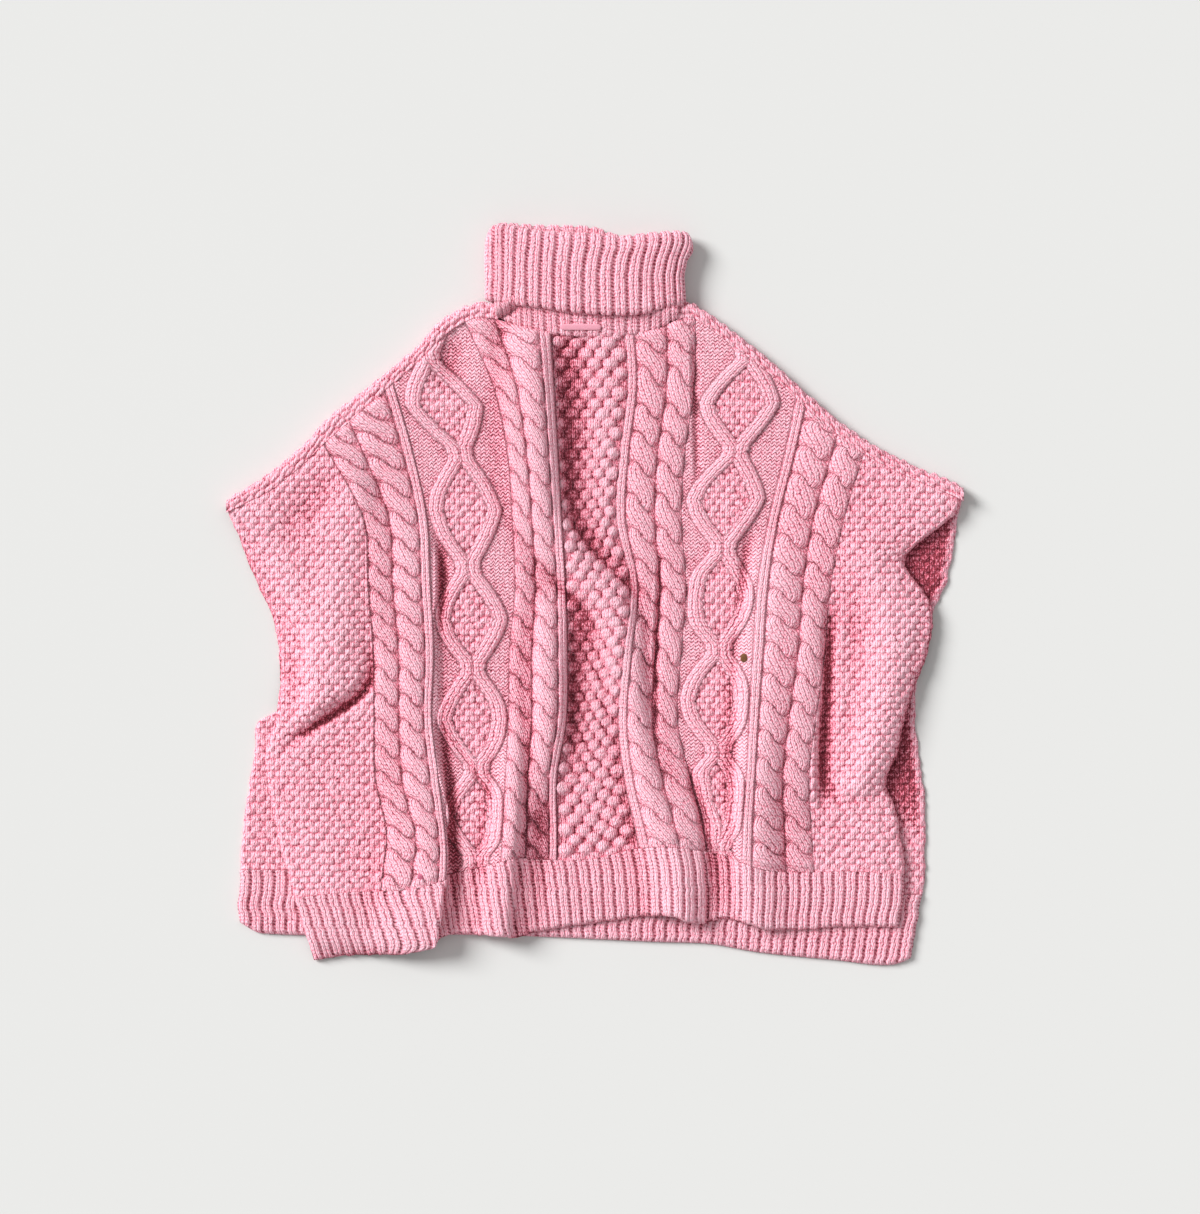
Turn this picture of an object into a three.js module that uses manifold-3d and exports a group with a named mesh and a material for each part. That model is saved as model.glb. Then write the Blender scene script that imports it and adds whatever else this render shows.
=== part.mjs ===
// A knitted poncho sweater laid flat on a surface, front up, with its turtleneck turned down.
// Millimetres: +X to the viewer's right, +Y towards the neck, +Z up from the surface.
// Each panel is one closed wall of knitted cloth: cables, ropes, ridges, bobbles and ribs are
// raised in its outer points, and its underside is plain.

import * as THREE from "three";
import { mergeVertices } from "three/addons/utils/BufferGeometryUtils.js";
import Module from "manifold-3d";

// Driving sizes of the cloth
const WALL = 4.6;
const STEEPEST_WALL = 2.2; // most that a slope thickens the wall, measured upright
const SEAM_GAP = 0.3;
const RIB_GAP = 1; // between a panel and the rib that it is knitted on from
const CABLE_HEIGHT = 5.6;
const ROPE_HEIGHT = 4.2;
const ROPE_HALF = 6;
const ROPE_CLEAR = 3.5; // least distance from a rope to the next column
const RIDGE_HEIGHT = 3.4;
const BOBBLE_HEIGHT = 3.6;
const RIB_HEIGHT = 2.4;
const MOSS_HEIGHT = 0.8;

// How high the front panel's underside lies
const FRONT_REST = 11;
const RIGHT_EDGE_REST = 8;
const HEM_REST = 7.9;
const LEFT_EDGE_SLOPE = 40; // width over which each edge comes down to its rest
const RIGHT_EDGE_SLOPE = 30;
const HEM_SLOPE = 45;

// The centre of the whole garment's box, moved to the origin
const CENTRE = { x: 0, y: -5 };

// Heights at which the front's columns are given, from the hem up
const STATIONS = [-370, -310, -250, -190, -130, -60, 10, 80, 150, 220, 290];

// The knitted columns from left to right: the middle of each, x at each station
const COLUMNS = [
  { kind: "cable", half: 12.5, pitch: 27.3,
    x: [-208, -212, -206, -218, -219, -220, -225, -230, -267, -310, -350] },
  { kind: "cable", half: 12.5, pitch: 27.3,
    x: [-196, -192, -181, -187, -192, -192, -199, -202, -219, -239, -258] },
  { kind: "ridge", half: 4.4,
    x: [-186, -177, -171, -169, -175, -173, -176, -180, -195, -215, -235] },
  { kind: "diamond", reachLeft: 35, reachRight: 33, crossings: [-279, -183, -77, 29, 148, 248],
    x: [-128, -126, -124, -124, -126, -129, -132, -137, -142, -166, -189] },
  { kind: "cable", half: 10.5, pitch: 30,
    x: [-91, -89, -86, -83, -80, -79, -73, -76, -81, -96, -127] },
  { kind: "cable", half: 10.5, pitch: 30,
    x: [-61, -60, -57, -57, -52, -53, -52, -56, -62, -69, -83] },
  { kind: "ridge", half: 4.4,
    x: [-44, -44, -44, -44, -34, -33, -35, -39, -43, -47, -51] },
  { kind: "bobbles", half: 0, x: [] },
  { kind: "ridge", half: 4.4,
    x: [64, 60, 48, 35, 29, 35, 42, 27, 31, 39, 34] },
  { kind: "cable", half: 13, pitch: 32.5,
    x: [89, 85, 70, 54, 47, 50, 54, 48, 50, 59, 58] },
  { kind: "cable", half: 13, pitch: 32.5,
    x: [113, 110, 102, 87, 74, 78, 83, 78, 82, 92, 93] },
  { kind: "diamond", reachLeft: 40, reachRight: 32, crossings: [-266, -164, -57, 49, 151, 251],
    x: [133, 131, 129, 129, 130, 130, 132, 137, 147, 157, 166] },
  { kind: "ridge", half: 4.4,
    x: [160, 158, 159, 163, 166, 170, 175, 187, 204, 218, 231] },
  { kind: "cable", half: 14, pitch: 29.5,
    x: [187, 186, 184, 183, 189, 198, 203, 211, 230, 251, 270] },
  { kind: "cable", half: 14, pitch: 29.5,
    x: [219, 217, 214, 211, 218, 228, 234, 248, 269, 289, 308] },
];

// The front panel's two free side edges, x at each height y
const FRONT_LEFT_EDGE = [
  { y: -384, x: -296 }, { y: -340, x: -309 }, { y: -300, x: -320 }, { y: -250, x: -334 },
  { y: -190, x: -345 }, { y: -160, x: -345 }, { y: -125, x: -334 }, { y: -75, x: -331 },
  { y: -25, x: -339 }, { y: 10, x: -354 }, { y: 80, x: -382 }, { y: 150, x: -409 },
  { y: 290, x: -462 },
];
const FRONT_RIGHT_EDGE = [
  { y: -349, x: 319 }, { y: -290, x: 325 }, { y: -231, x: 317 }, { y: -196, x: 306 },
  { y: -165, x: 318 }, { y: -130, x: 325 }, { y: -85, x: 340 }, { y: -60, x: 349 },
  { y: -25, x: 355 }, { y: 0, x: 348 }, { y: 35, x: 323 }, { y: 50, x: 335 },
  { y: 71, x: 361 }, { y: 88, x: 381 }, { y: 110, x: 387 }, { y: 170, x: 410 },
];

// The front's ribbed hem: where the rib starts and ends along x
const FRONT_HEM = [
  { x: -314, top: -318, end: -386 }, { x: -262, top: -312, end: -379 },
  { x: -205, top: -309, end: -377 }, { x: -176, top: -300, end: -372 },
  { x: -157, top: -294, end: -358 }, { x: -125, top: -287, end: -357 },
  { x: -83, top: -276, end: -359 }, { x: -58, top: -278, end: -353 },
  { x: -3, top: -277, end: -345 }, { x: 39, top: -267, end: -339 },
  { x: 74, top: -264, end: -336 }, { x: 110, top: -268, end: -345 },
  { x: 140, top: -275, end: -340 }, { x: 175, top: -288, end: -350 },
  { x: 215, top: -291, end: -352 }, { x: 268, top: -290, end: -348 },
  { x: 323, top: -293, end: -349 },
];

// Outer line of the shoulders, and the seam on the front side of it where the front panel ends
const SHOULDERS = [
  { x: -388, outer: 98, seam: 86 }, { x: -340, outer: 129, seam: 110 },
  { x: -301, outer: 161, seam: 142 }, { x: -286, outer: 180, seam: 157 },
  { x: -233, outer: 222, seam: 203 }, { x: -185, outer: 262, seam: 245 },
  { x: -165, outer: 285, seam: 266 }, { x: -141, outer: 300, seam: 284 },
  { x: -116, outer: 307, seam: 291 }, { x: -60, outer: 307, seam: 278 },
  { x: 0, outer: 307, seam: 274 }, { x: 60, outer: 307, seam: 278 },
  { x: 100, outer: 306, seam: 291 }, { x: 133, outer: 285, seam: 270 },
  { x: 187, outer: 243, seam: 229 }, { x: 220, outer: 213, seam: 198 },
  { x: 275, outer: 168, seam: 153 }, { x: 329, outer: 138, seam: 124 },
  { x: 376, outer: 118, seam: 104 }, { x: 388, outer: 110, seam: 98 },
];
const NECK = { left: -116, right: 100, backTop: 296, clear: 5 };
const SHOULDER_ROLL = 16; // height of the back panel where it rolls over the shoulder

// The back panel's side edges, x at each height y
const BACK_SIDES = [
  { y: -392, left: -368, right: 330 }, { y: -330, left: -375, right: 341 },
  { y: -290, left: -373, right: 347 }, { y: -220, left: -367, right: 347 },
  { y: -170, left: -358, right: 341 }, { y: -134, left: -354, right: 337 },
  { y: -122, left: -334, right: 337 }, { y: -108, left: -308, right: 337 },
  { y: -70, left: -304, right: 341 }, { y: -25, left: -311, right: 352 },
  { y: 15, left: -325, right: 370 }, { y: 60, left: -353, right: 378 },
  { y: 90, left: -381, right: 384 }, { y: 115, left: -389, right: 388 },
];
const BACK_HEM = [
  { x: -376, top: -289, end: -343 }, { x: -350, top: -289, end: -356 },
  { x: -180, top: -292, end: -357 }, { x: -70, top: -296, end: -359 },
  { x: 66, top: -302, end: -365 }, { x: 120, top: -305, end: -367 },
  { x: 173, top: -308, end: -376 }, { x: 253, top: -312, end: -384 },
  { x: 312, top: -315, end: -389 }, { x: 345, top: -315, end: -376 },
];

// Height of the front's left edge above the surface: it lies on the surface above the back's
// free corner and on the back panel below it
const LEFT_EDGE_REST = [
  { y: -390, z: 8 }, { y: -270, z: 7.6 }, { y: -128, z: 6.4 }, { y: -108, z: 5.8 }, { y: -92, z: 3 },
  { y: -75, z: 0.6 }, { y: 25, z: 0.6 }, { y: 60, z: 3.5 }, { y: 80, z: 8 }, { y: 100, z: 10 },
];

// Folds of the laid front panel: a section wherever a fold changes, from its lower end up.
// rise is the crest's height, or the depth of a crease, and left and right are its side widths.
const FOLDS = [
  { name: "overlapping crest beside the left ridge", sections: [
    { y: -390, x: -188, rise: 13, left: 64, right: 11 },
    { y: -320, x: -180, rise: 14, left: 64, right: 12 },
    { y: -268, x: -172, rise: 13, left: 62, right: 13 },
    { y: -194, x: -168, rise: 10, left: 60, right: 15 },
    { y: -110, x: -173, rise: 6, left: 55, right: 15 },
    { y: -5, x: -175, rise: 7, left: 50, right: 15 },
    { y: 60, x: -180, rise: 4, left: 45, right: 15 },
    { y: 121, x: -189, rise: 0, left: 40, right: 15 } ] },
  { name: "soft bulge in the left moss", sections: [
    { y: -125, x: -312, rise: 0, left: 36, right: 30 },
    { y: -100, x: -295, rise: 5, left: 36, right: 32 },
    { y: -60, x: -275, rise: 7, left: 40, right: 34 },
    { y: -5, x: -264, rise: 4, left: 44, right: 34 },
    { y: 50, x: -262, rise: 0, left: 44, right: 30 } ] },
  { name: "slanting crease in the left moss", sections: [
    { y: -168, x: -341, rise: 0, left: 22, right: 26 },
    { y: -148, x: -320, rise: -3, left: 24, right: 26 },
    { y: -119, x: -273, rise: -5, left: 26, right: 24 },
    { y: -95, x: -245, rise: -5, left: 22, right: 18 },
    { y: -65, x: -234, rise: -3, left: 16, right: 12 },
    { y: -45, x: -232, rise: 0, left: 14, right: 10 } ] },
  { name: "hollow under the left shoulder", sections: [
    { y: 35, x: -335, rise: 0, left: 34, right: 34 },
    { y: 68, x: -318, rise: -3, left: 34, right: 34 },
    { y: 100, x: -298, rise: -3, left: 34, right: 34 },
    { y: 132, x: -276, rise: 0, left: 34, right: 34 } ] },
  { name: "crest along the inner left cable", sections: [
    { y: -390, x: -101, rise: 8, left: 32, right: 15 },
    { y: -300, x: -95, rise: 9, left: 32, right: 15 },
    { y: -236, x: -88, rise: 8, left: 30, right: 15 },
    { y: -173, x: -85, rise: 5, left: 26, right: 15 },
    { y: -100, x: -85, rise: 0, left: 23, right: 15 } ] },
  { name: "hollow beside the centre panel", sections: [
    { y: -390, x: -54, rise: -3, left: 18, right: 20 },
    { y: -278, x: -56, rise: -3, left: 16, right: 18 },
    { y: -215, x: -54, rise: -3, left: 14, right: 16 },
    { y: -170, x: -52, rise: 0, left: 14, right: 16 } ] },
  { name: "hollow of the centre panel", sections: [
    { y: -190, x: -18, rise: 0, left: 20, right: 26 },
    { y: -120, x: -18, rise: -3, left: 20, right: 26 },
    { y: -40, x: -14, rise: -2, left: 22, right: 26 },
    { y: 40, x: -8, rise: -1, left: 24, right: 28 },
    { y: 120, x: -16, rise: -4, left: 28, right: 30 },
    { y: 205, x: -18, rise: -4, left: 28, right: 30 },
    { y: 290, x: -20, rise: -2, left: 26, right: 28 } ] },
  { name: "crest down the right inner ridge", sections: [
    { y: -390, x: 84, rise: 9, left: 34, right: 28 },
    { y: -310, x: 79, rise: 9, left: 34, right: 30 },
    { y: -257, x: 69, rise: 8, left: 34, right: 32 },
    { y: -205, x: 52, rise: 5, left: 30, right: 32 },
    { y: -150, x: 34, rise: 0, left: 22, right: 26 } ] },
  { name: "valley left of the right diamonds", sections: [
    { y: -390, x: 128, rise: -3, left: 20, right: 20 },
    { y: -300, x: 124, rise: -3, left: 16, right: 18 },
    { y: -233, x: 116, rise: -4, left: 12, right: 14 },
    { y: -205, x: 107, rise: -4, left: 11, right: 12 },
    { y: -170, x: 96, rise: 0, left: 10, right: 12 } ] },
  { name: "crest of the right outer ridge", sections: [
    { y: -390, x: 175, rise: 7, left: 30, right: 38 },
    { y: -310, x: 165, rise: 8, left: 22, right: 42 },
    { y: -257, x: 159, rise: 8, left: 16, right: 42 },
    { y: -173, x: 162, rise: 5, left: 15, right: 42 },
    { y: -110, x: 166, rise: 0, left: 15, right: 34 } ] },
  { name: "deep valley beside the right cables", sections: [
    { y: -228, x: 262, rise: 0, left: 14, right: 12 },
    { y: -210, x: 250, rise: -4, left: 14, right: 12 },
    { y: -184, x: 244, rise: -5, left: 14, right: 12 },
    { y: -110, x: 246, rise: -5, left: 13, right: 13 },
    { y: -47, x: 246, rise: -4, left: 12, right: 13 },
    { y: 0, x: 249, rise: 0, left: 12, right: 13 } ] },
  { name: "large bulge of the right moss", sections: [
    { y: -214, x: 276, rise: 0, left: 26, right: 32 },
    { y: -200, x: 279, rise: 8, left: 26, right: 32 },
    { y: -173, x: 285, rise: 11, left: 32, right: 36 },
    { y: -110, x: 299, rise: 10, left: 44, right: 40 },
    { y: -26, x: 305, rise: 8, left: 50, right: 52 },
    { y: 37, x: 288, rise: 5, left: 44, right: 44 },
    { y: 100, x: 290, rise: 0, left: 40, right: 50 } ] },
];

// The overlapping crest leans to the right over the cloth beside it
const LEAN = { amount: 15, from: -170, full: -300, low: 16, high: 29, left: 60, flat: 10, right: 34 };
// The lower left of the front hangs past the back's hem, down to the surface
const FLAP = { right: -150, start: -360, end: -379, drop: 6 };

// How finely each piece is stepped
const FRONT_LENGTH = 580;
const BORDER_ROWS = 24;
const MOSS_ROWS = 18;
const CABLE_ROWS_PER_TURN = 3;
const RIDGE_ROWS = 30;
const DIAMOND_ROWS = 36;
const BOBBLES_ACROSS = 8;
const BOBBLE_ROWS = 54;
const JOINED_LAST = 1e-6;
const UNDER_ROWS = 22;
const UNDER_INSET = 0.015;
// Where the underside's lines run within each kind of band
const UNDER_SHARES = {
  moss: [0.12, 0.4, 0.7],
  cable: [0, 0.5],
  ridge: [0, 0.5],
  diamond: [0, 0.1, 0.3, 0.55, 0.8],
  bobbles: [0, 0.33, 0.67],
};
const FRONT_RIBS = 53;
const HEM_ROWS = 3;
const HEM_UNDER_LINES = 30;
const HEM_INSET = 0.06;
const BACK_RIBS = 57;
const BACK_LINES = 28;
const BACK_ROWS = 10;
const BACK_UNDER_LINES = 6;
const BACK_INSET = 0.03;
const ROLL_REACH = 8.5;
const ROLL_GAP = 0.9;
const ROLL_STEPS = 4;
const ROLL_LAP = 4; // how far the roll's lower end runs inside the flat back
const ROLL_LENGTHS = 18;
const MEET_STEPS = 24; // steps in finding where a line meets a border

// The turtleneck: a ribbed tube turned down outside itself. Its rings run from the turned-down
// edge up the outside, over the fold, down the inside to the neck seam and up between the layers.
const COLLAR_MIDDLE = -6;
const COLLAR_STEPS = 48; // points over the front, three to a rib
const COLLAR_RIB_HEIGHT = 2.4;
const COLLAR_END = [
  { x: -115, y: 314 }, { x: -98, y: 308 }, { x: -60, y: 303 }, { x: -25, y: 298 }, { x: 20, y: 295 },
  { x: 50, y: 296 }, { x: 74, y: 302 }, { x: 105, y: 306 },
];
const collarSlit = (x) => collarEnd(x) + 9;
const neckSeam = (x) => seamAt(x) + SEAM_GAP;
const COLLAR_RINGS = [
  { half: 107, low: 0, high: 28, end: (x) => collarEnd(x), back: 297.5, ribbed: true },
  { half: 105, low: 0, high: 28.5, y: 335, ribbed: true },
  { half: 109, low: 0, high: 28, y: 370, ribbed: true },
  { half: 107, low: 3, high: 25, y: 378.5, ribbed: true },
  { half: 103, low: 7, high: 21, y: 379.5 },
  { half: 100, low: 9.7, high: 18, y: 372 },
  { half: 98, low: 9.7, high: 12, end: neckSeam, back: 296.4 },
  { half: 103, low: 5, high: 16.6, end: neckSeam, back: 296.4, ribbed: true },
  { half: 100, low: 5, high: 22.8, end: collarSlit, back: 306 },
  { half: 100.4, low: 4.6, high: 23.3, end: collarSlit, back: 306 },
  { half: 100.4, low: 4.6, high: 23.3, end: (x) => collarEnd(x), back: 297.5 },
];

// Small pieces
const TAB = { width: 43, height: 6.5, thickness: 1.8, corner: 2, x: -15, y: 281, z: 20.45, tilt: 0.22 };
const HEM_KNOT = { x: -182, y: -295, z: 33.2, radius: 4.2, height: 6 };
const SIDE_KNOT = { x: 156.5, y: -66, z: 18.15, radius: 4.8, height: 4.5 };

const PINK = { color: 0xf0a3bb, roughness: 0.95, metalness: 0 };
const TAB_PINK = { color: 0xe58ea8, roughness: 0.8, metalness: 0 };
const BROWN = { color: 0x9a6224, roughness: 0.8, metalness: 0 };

// Smooth reading of a table

// Eases from 0 to 1 as t does
function smooth(t) {
  const s = Math.min(1, Math.max(0, t));
  return s * s * (3 - 2 * s);
}

function mix(a, b, t) {
  return a + (b - a) * t;
}

// A smooth curve through the values given at rising places, straight beyond both ends
function curve(places, values, at) {
  const last = places.length - 1;
  const slope = (i) => {
    const a = Math.max(0, i - 1);
    const b = Math.min(last, i + 1);
    return (values[b] - values[a]) / (places[b] - places[a]);
  };
  if (at <= places[0]) return values[0] + slope(0) * (at - places[0]);
  if (at >= places[last]) return values[last] + slope(last) * (at - places[last]);
  let i = 0;
  while (at > places[i + 1]) i += 1;
  const span = places[i + 1] - places[i];
  const t = (at - places[i]) / span;
  const rise = values[i + 1] - values[i];
  const bend = (1 - t) * (slope(i) * span - rise) - t * (slope(i + 1) * span - rise);
  return values[i] + rise * t + t * (1 - t) * bend;
}

function readTable(rows, place, value, at) {
  return curve(rows.map((row) => row[place]), rows.map((row) => row[value]), at);
}

const leftEdge = (y) => readTable(FRONT_LEFT_EDGE, "y", "x", y);
const rightEdge = (y) => readTable(FRONT_RIGHT_EDGE, "y", "x", y);
const hemTop = (x) => readTable(FRONT_HEM, "x", "top", x);
const hemEnd = (x) => readTable(FRONT_HEM, "x", "end", x);
const seamAt = (x) => readTable(SHOULDERS, "x", "seam", x);
const outerAt = (x) => readTable(SHOULDERS, "x", "outer", x);
const backSide = (side, y) => readTable(BACK_SIDES, "y", side, y);
const backHem = (value, x) => readTable(BACK_HEM, "x", value, x);

// Heights of the folded cloth

function foldRise(fold, x, y) {
  const rows = fold.sections;
  if (y >= rows[rows.length - 1].y || (y <= rows[0].y && rows[0].rise === 0)) return 0;
  const height = Math.max(y, rows[0].y);
  const middle = readTable(rows, "y", "x", height);
  const side = readTable(rows, "y", x < middle ? "left" : "right", height);
  const away = Math.min(1, Math.abs(x - middle) / side);
  return readTable(rows, "y", "rise", height) * (1 - away * away) ** 2;
}

// Height of the front panel's underside, before it leans
function undersideHeight(x, y) {
  const fromHem = smooth((y - hemEnd(x)) / HEM_SLOPE);
  const fromRight = smooth((rightEdge(y) - x) / RIGHT_EDGE_SLOPE);
  const fromLeft = smooth((x - leftEdge(y)) / LEFT_EDGE_SLOPE);
  const edge = mix(HEM_REST, RIGHT_EDGE_REST, fromHem);
  const inner = mix(edge, FRONT_REST, Math.min(fromHem, fromRight));
  const rest = mix(readTable(LEFT_EDGE_REST, "y", "z", y), inner, fromLeft);
  const folded = FOLDS.reduce((sum, fold) => sum + foldRise(fold, x, y), 0);
  const flap = smooth((FLAP.start - y) / (FLAP.start - FLAP.end)) * smooth((FLAP.right - x) / 12);
  return rest + mix(0.25, 1, fromHem) * Math.min(0, folded) * fromLeft
    + Math.max(0, folded) * fromLeft - FLAP.drop * flap;
}

// Upright thickness of the wall, so that a slope keeps the cloth's real thickness
function uprightWall(x, y) {
  const step = 1.5;
  const here = undersideHeight(x, y);
  const alongX = (undersideHeight(x + step, y) - here) / step;
  const alongY = (undersideHeight(x, y + step) - here) / step;
  return WALL * Math.min(STEEPEST_WALL, Math.hypot(1, alongX, alongY));
}

// The overlapping crest leans over the cloth on its right
function leanAt(x, y, z) {
  const amount = LEAN.amount * smooth((LEAN.from - y) / (LEAN.from - LEAN.full));
  if (amount === 0) return 0;
  const away = x - readTable(FOLDS[0].sections, "y", "x", y);
  const near = smooth(1 - (away < 0 ? -away / LEAN.left : (away - LEAN.flat) / LEAN.right));
  return amount * near * smooth((z - LEAN.low) / (LEAN.high - LEAN.low));
}

// A place of the front: its raised outer point and the plain point under it
function frontPlace(x, y, relief) {
  const low = undersideHeight(x, y);
  const high = low + uprightWall(x, y) + relief;
  return {
    high: [x + leanAt(x, y, high), y, high],
    low: [x + leanAt(x, y, low), y, low],
  };
}

// Relief of the knitted columns

// Two strands twisted about each other: across runs from -1 to 1, turns counts the crossings
function cableRelief(across, turns) {
  const strands = [0, 1].map((strand) => {
    const angle = Math.PI * (turns + strand);
    const off = (across - 0.48 * Math.cos(angle)) / 0.62;
    return 0.32 * Math.sin(angle) + 0.68 * (1 - off * off);
  });
  return CABLE_HEIGHT * Math.max(0, ...strands);
}

// How far a pair of ropes has parted, from 0 where they cross to 1 at a diamond's corner
function ropesParted(crossings, y) {
  const turns = crossings.map((_, i) => i);
  const place = curve(crossings, turns, y);
  const part = place - Math.floor(place);
  return 0.5 * (1 - Math.abs(2 * part - 1)) + 0.5 * Math.sin(Math.PI * part);
}

// Placing of the columns

const middleOf = (column, y) => curve(STATIONS, column.x, y);

// The line between column number index - 1 and column number index, or a side edge
function bandLine(index, y) {
  if (index < 0) return leftEdge(y);
  if (index > COLUMNS.length) return rightEdge(y);
  const [before, after] = [COLUMNS[index - 1], COLUMNS[index]];
  const starts = after && after.half ? middleOf(after, y) - after.half : null;
  const ends = before && before.half ? middleOf(before, y) + before.half : null;
  if (starts === null || ends === null) return starts === null ? ends : starts;
  return mix(middleOf(before, y), middleOf(after, y), before.half / (before.half + after.half));
}

// A line of points up the front panel: where(y) gives its x, relief(y, row) its raised height
function frontLine(where, rows, relief, inset = 0) {
  const meet = (border) => {
    let y = border(where(0));
    for (let i = 0; i < MEET_STEPS; i += 1) y = mix(y, border(where(y)), 0.6);
    return y;
  };
  const [bottom, top] = [meet(hemTop), meet(seamAt)];
  return Array.from({ length: rows + 1 }, (_, row) => {
    const y = mix(bottom, top, mix(inset, 1 - inset, row / rows));
    return { t: row / rows, ...frontPlace(where(y), y, relief(y, row)) };
  });
}

const evenly = (count) => Array.from({ length: count }, (_, i) => (i + 1) / (count + 1));

// Lines inside a plain band, between its two border lines
function mossLines(index, count) {
  return evenly(count).map((share) =>
    frontLine((y) => mix(bandLine(index - 1, y), bandLine(index, y), share), MOSS_ROWS, () => MOSS_HEIGHT));
}

function cableLines(index, column) {
  const rows = Math.round((CABLE_ROWS_PER_TURN * FRONT_LENGTH) / column.pitch);
  return evenly(3).map((share) =>
    frontLine((y) => mix(bandLine(index, y), bandLine(index + 1, y), share), rows,
      (y) => cableRelief(2 * share - 1, y / column.pitch)));
}

function ridgeLines(index) {
  const middle = (y) => mix(bandLine(index, y), bandLine(index + 1, y), 0.5);
  return [frontLine(middle, RIDGE_ROWS, () => RIDGE_HEIGHT)];
}

function diamondLines(index, column) {
  const rope = (side, edge) => (y) => {
    const middle = middleOf(column, y);
    const reach = (side < 0 ? column.reachLeft : column.reachRight) * ropesParted(column.crossings, y);
    const room = Math.abs((side < 0 ? bandLine(index, y) : bandLine(index + 1, y)) - middle);
    const centre = Math.min(Math.max(reach, ROPE_HALF + 0.8), room - ROPE_HALF - ROPE_CLEAR);
    return middle + side * (centre + edge * ROPE_HALF);
  };
  const line = (where, height) => frontLine(where, DIAMOND_ROWS, () => height);
  const beside = (side) => (y) => mix(bandLine(side < 0 ? index : index + 1, y), rope(side, 1)(y), 0.5);
  return [
    line(beside(-1), 0), line(rope(-1, 1), 0), line(rope(-1, 0), ROPE_HEIGHT), line(rope(-1, -1), 0),
    line((y) => middleOf(column, y), MOSS_HEIGHT),
    line(rope(1, -1), 0), line(rope(1, 0), ROPE_HEIGHT), line(rope(1, 1), 0), line(beside(1), 0),
  ];
}

// Bobbles stand in a chequered pattern: a raised point is joined last, so that low points meet
function bobbleLines(index) {
  return evenly(BOBBLES_ACROSS).map((share, across) => {
    const raised = (row) => (across + row) % 2;
    const line = frontLine((y) => mix(bandLine(index, y), bandLine(index + 1, y), share), BOBBLE_ROWS,
      (y, row) => raised(row) * BOBBLE_HEIGHT);
    return line.map((place, row) => ({ ...place, t: place.t + raised(row) * JOINED_LAST }));
  });
}

const LINES_OF = { cable: cableLines, ridge: ridgeLines, diamond: diamondLines, bobbles: bobbleLines };

// A closed shell made of points and triangles
class Shell {
  constructor() {
    this.points = [];
    this.faces = [];
  }

  add(point) {
    this.points.push(...point);
    return this.points.length / 3 - 1;
  }

  // Fills the strip between two rows of { id, t }, whose t rises from 0 to 1
  zip(a, b) {
    let [i, j] = [0, 0];
    while (i < a.length - 1 || j < b.length - 1) {
      const stepA = j === b.length - 1 || (i < a.length - 1 && a[i + 1].t <= b[j + 1].t);
      if (stepA) this.faces.push(a[i].id, b[j].id, a[i + 1].id);
      else this.faces.push(a[i].id, b[j].id, b[j + 1].id);
      if (stepA) i += 1;
      else j += 1;
    }
  }

  mesh(name, look) {
    const geometry = new THREE.BufferGeometry();
    geometry.setAttribute("position", new THREE.Float32BufferAttribute(this.points, 3));
    geometry.setIndex(this.faces);
    return namedMesh(name, geometry, look);
  }
}

function namedMesh(name, geometry, look) {
  geometry.computeVertexNormals();
  const mesh = new THREE.Mesh(geometry, new THREE.MeshStandardMaterial(look));
  mesh.name = name;
  return mesh;
}

// Gives the points of a side rising shares from 0 to 1
function spread(ids) {
  return ids.map((id, i) => ({ id, t: i / (ids.length - 1) }));
}

// A wall of cloth: lines of { t, high, low } from left to right, each from its lower end up,
// and fewer lines of the plain underside inside the border
function clothWall(lines, under) {
  const shell = new Shell();
  const raised = lines.map((line) => line.map((place) => ({ id: shell.add(place.high), t: place.t })));
  for (let i = 0; i + 1 < raised.length; i += 1) shell.zip(raised[i], raised[i + 1]);
  const last = lines.length - 1;
  const sides = [
    lines.map((line, i) => [line[0], raised[i][0]]),
    lines[last].map((place, row) => [place, raised[last][row]]),
    lines.map((line, i) => [line[line.length - 1], raised[i][line.length - 1]]).reverse(),
    lines[0].map((place, row) => [place, raised[0][row]]).reverse(),
  ];
  const lowOf = new Map();
  const lowId = ([place, top]) => {
    if (!lowOf.has(top.id)) lowOf.set(top.id, shell.add(place.low));
    return lowOf.get(top.id);
  };
  const grid = under.map((line) => line.map((place) => shell.add(place.low)));
  const [across, up] = [grid.length - 1, grid[0].length - 1];
  const gridSides = [
    grid.map((column) => column[0]),
    grid[across],
    grid.map((column) => column[up]).reverse(),
    [...grid[0]].reverse(),
  ];
  sides.forEach((side, k) => {
    const low = side.map(lowId);
    for (let i = 0; i + 1 < side.length; i += 1) {
      shell.faces.push(low[i], low[i + 1], side[i + 1][1].id);
      shell.faces.push(low[i], side[i + 1][1].id, side[i][1].id);
    }
    shell.zip(spread(low), spread(gridSides[k]));
  });
  for (let i = 0; i < across; i += 1) {
    for (let j = 0; j < up; j += 1) {
      const [a, b, c, d] = [grid[i][j], grid[i + 1][j], grid[i + 1][j + 1], grid[i][j + 1]];
      shell.faces.push(a, c, b, a, d, c);
    }
  }
  return shell;
}

// The pieces

// Lines on the front that share the ribbed hem's shares from left to right
function hemLine(share, rows, relief, inset) {
  const where = (y) => mix(leftEdge(y), rightEdge(y), share);
  const meet = (border) => {
    let y = border(where(-300));
    for (let i = 0; i < MEET_STEPS; i += 1) y = mix(y, border(where(y)), 0.6);
    return y;
  };
  const [bottom, top] = [meet(hemEnd), meet(hemTop) - RIB_GAP];
  return Array.from({ length: rows + 1 }, (_, row) => {
    const y = mix(bottom, top, mix(inset, 1 - inset, row / rows));
    return { t: row / rows, ...frontPlace(where(y), y, relief) };
  });
}

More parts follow.
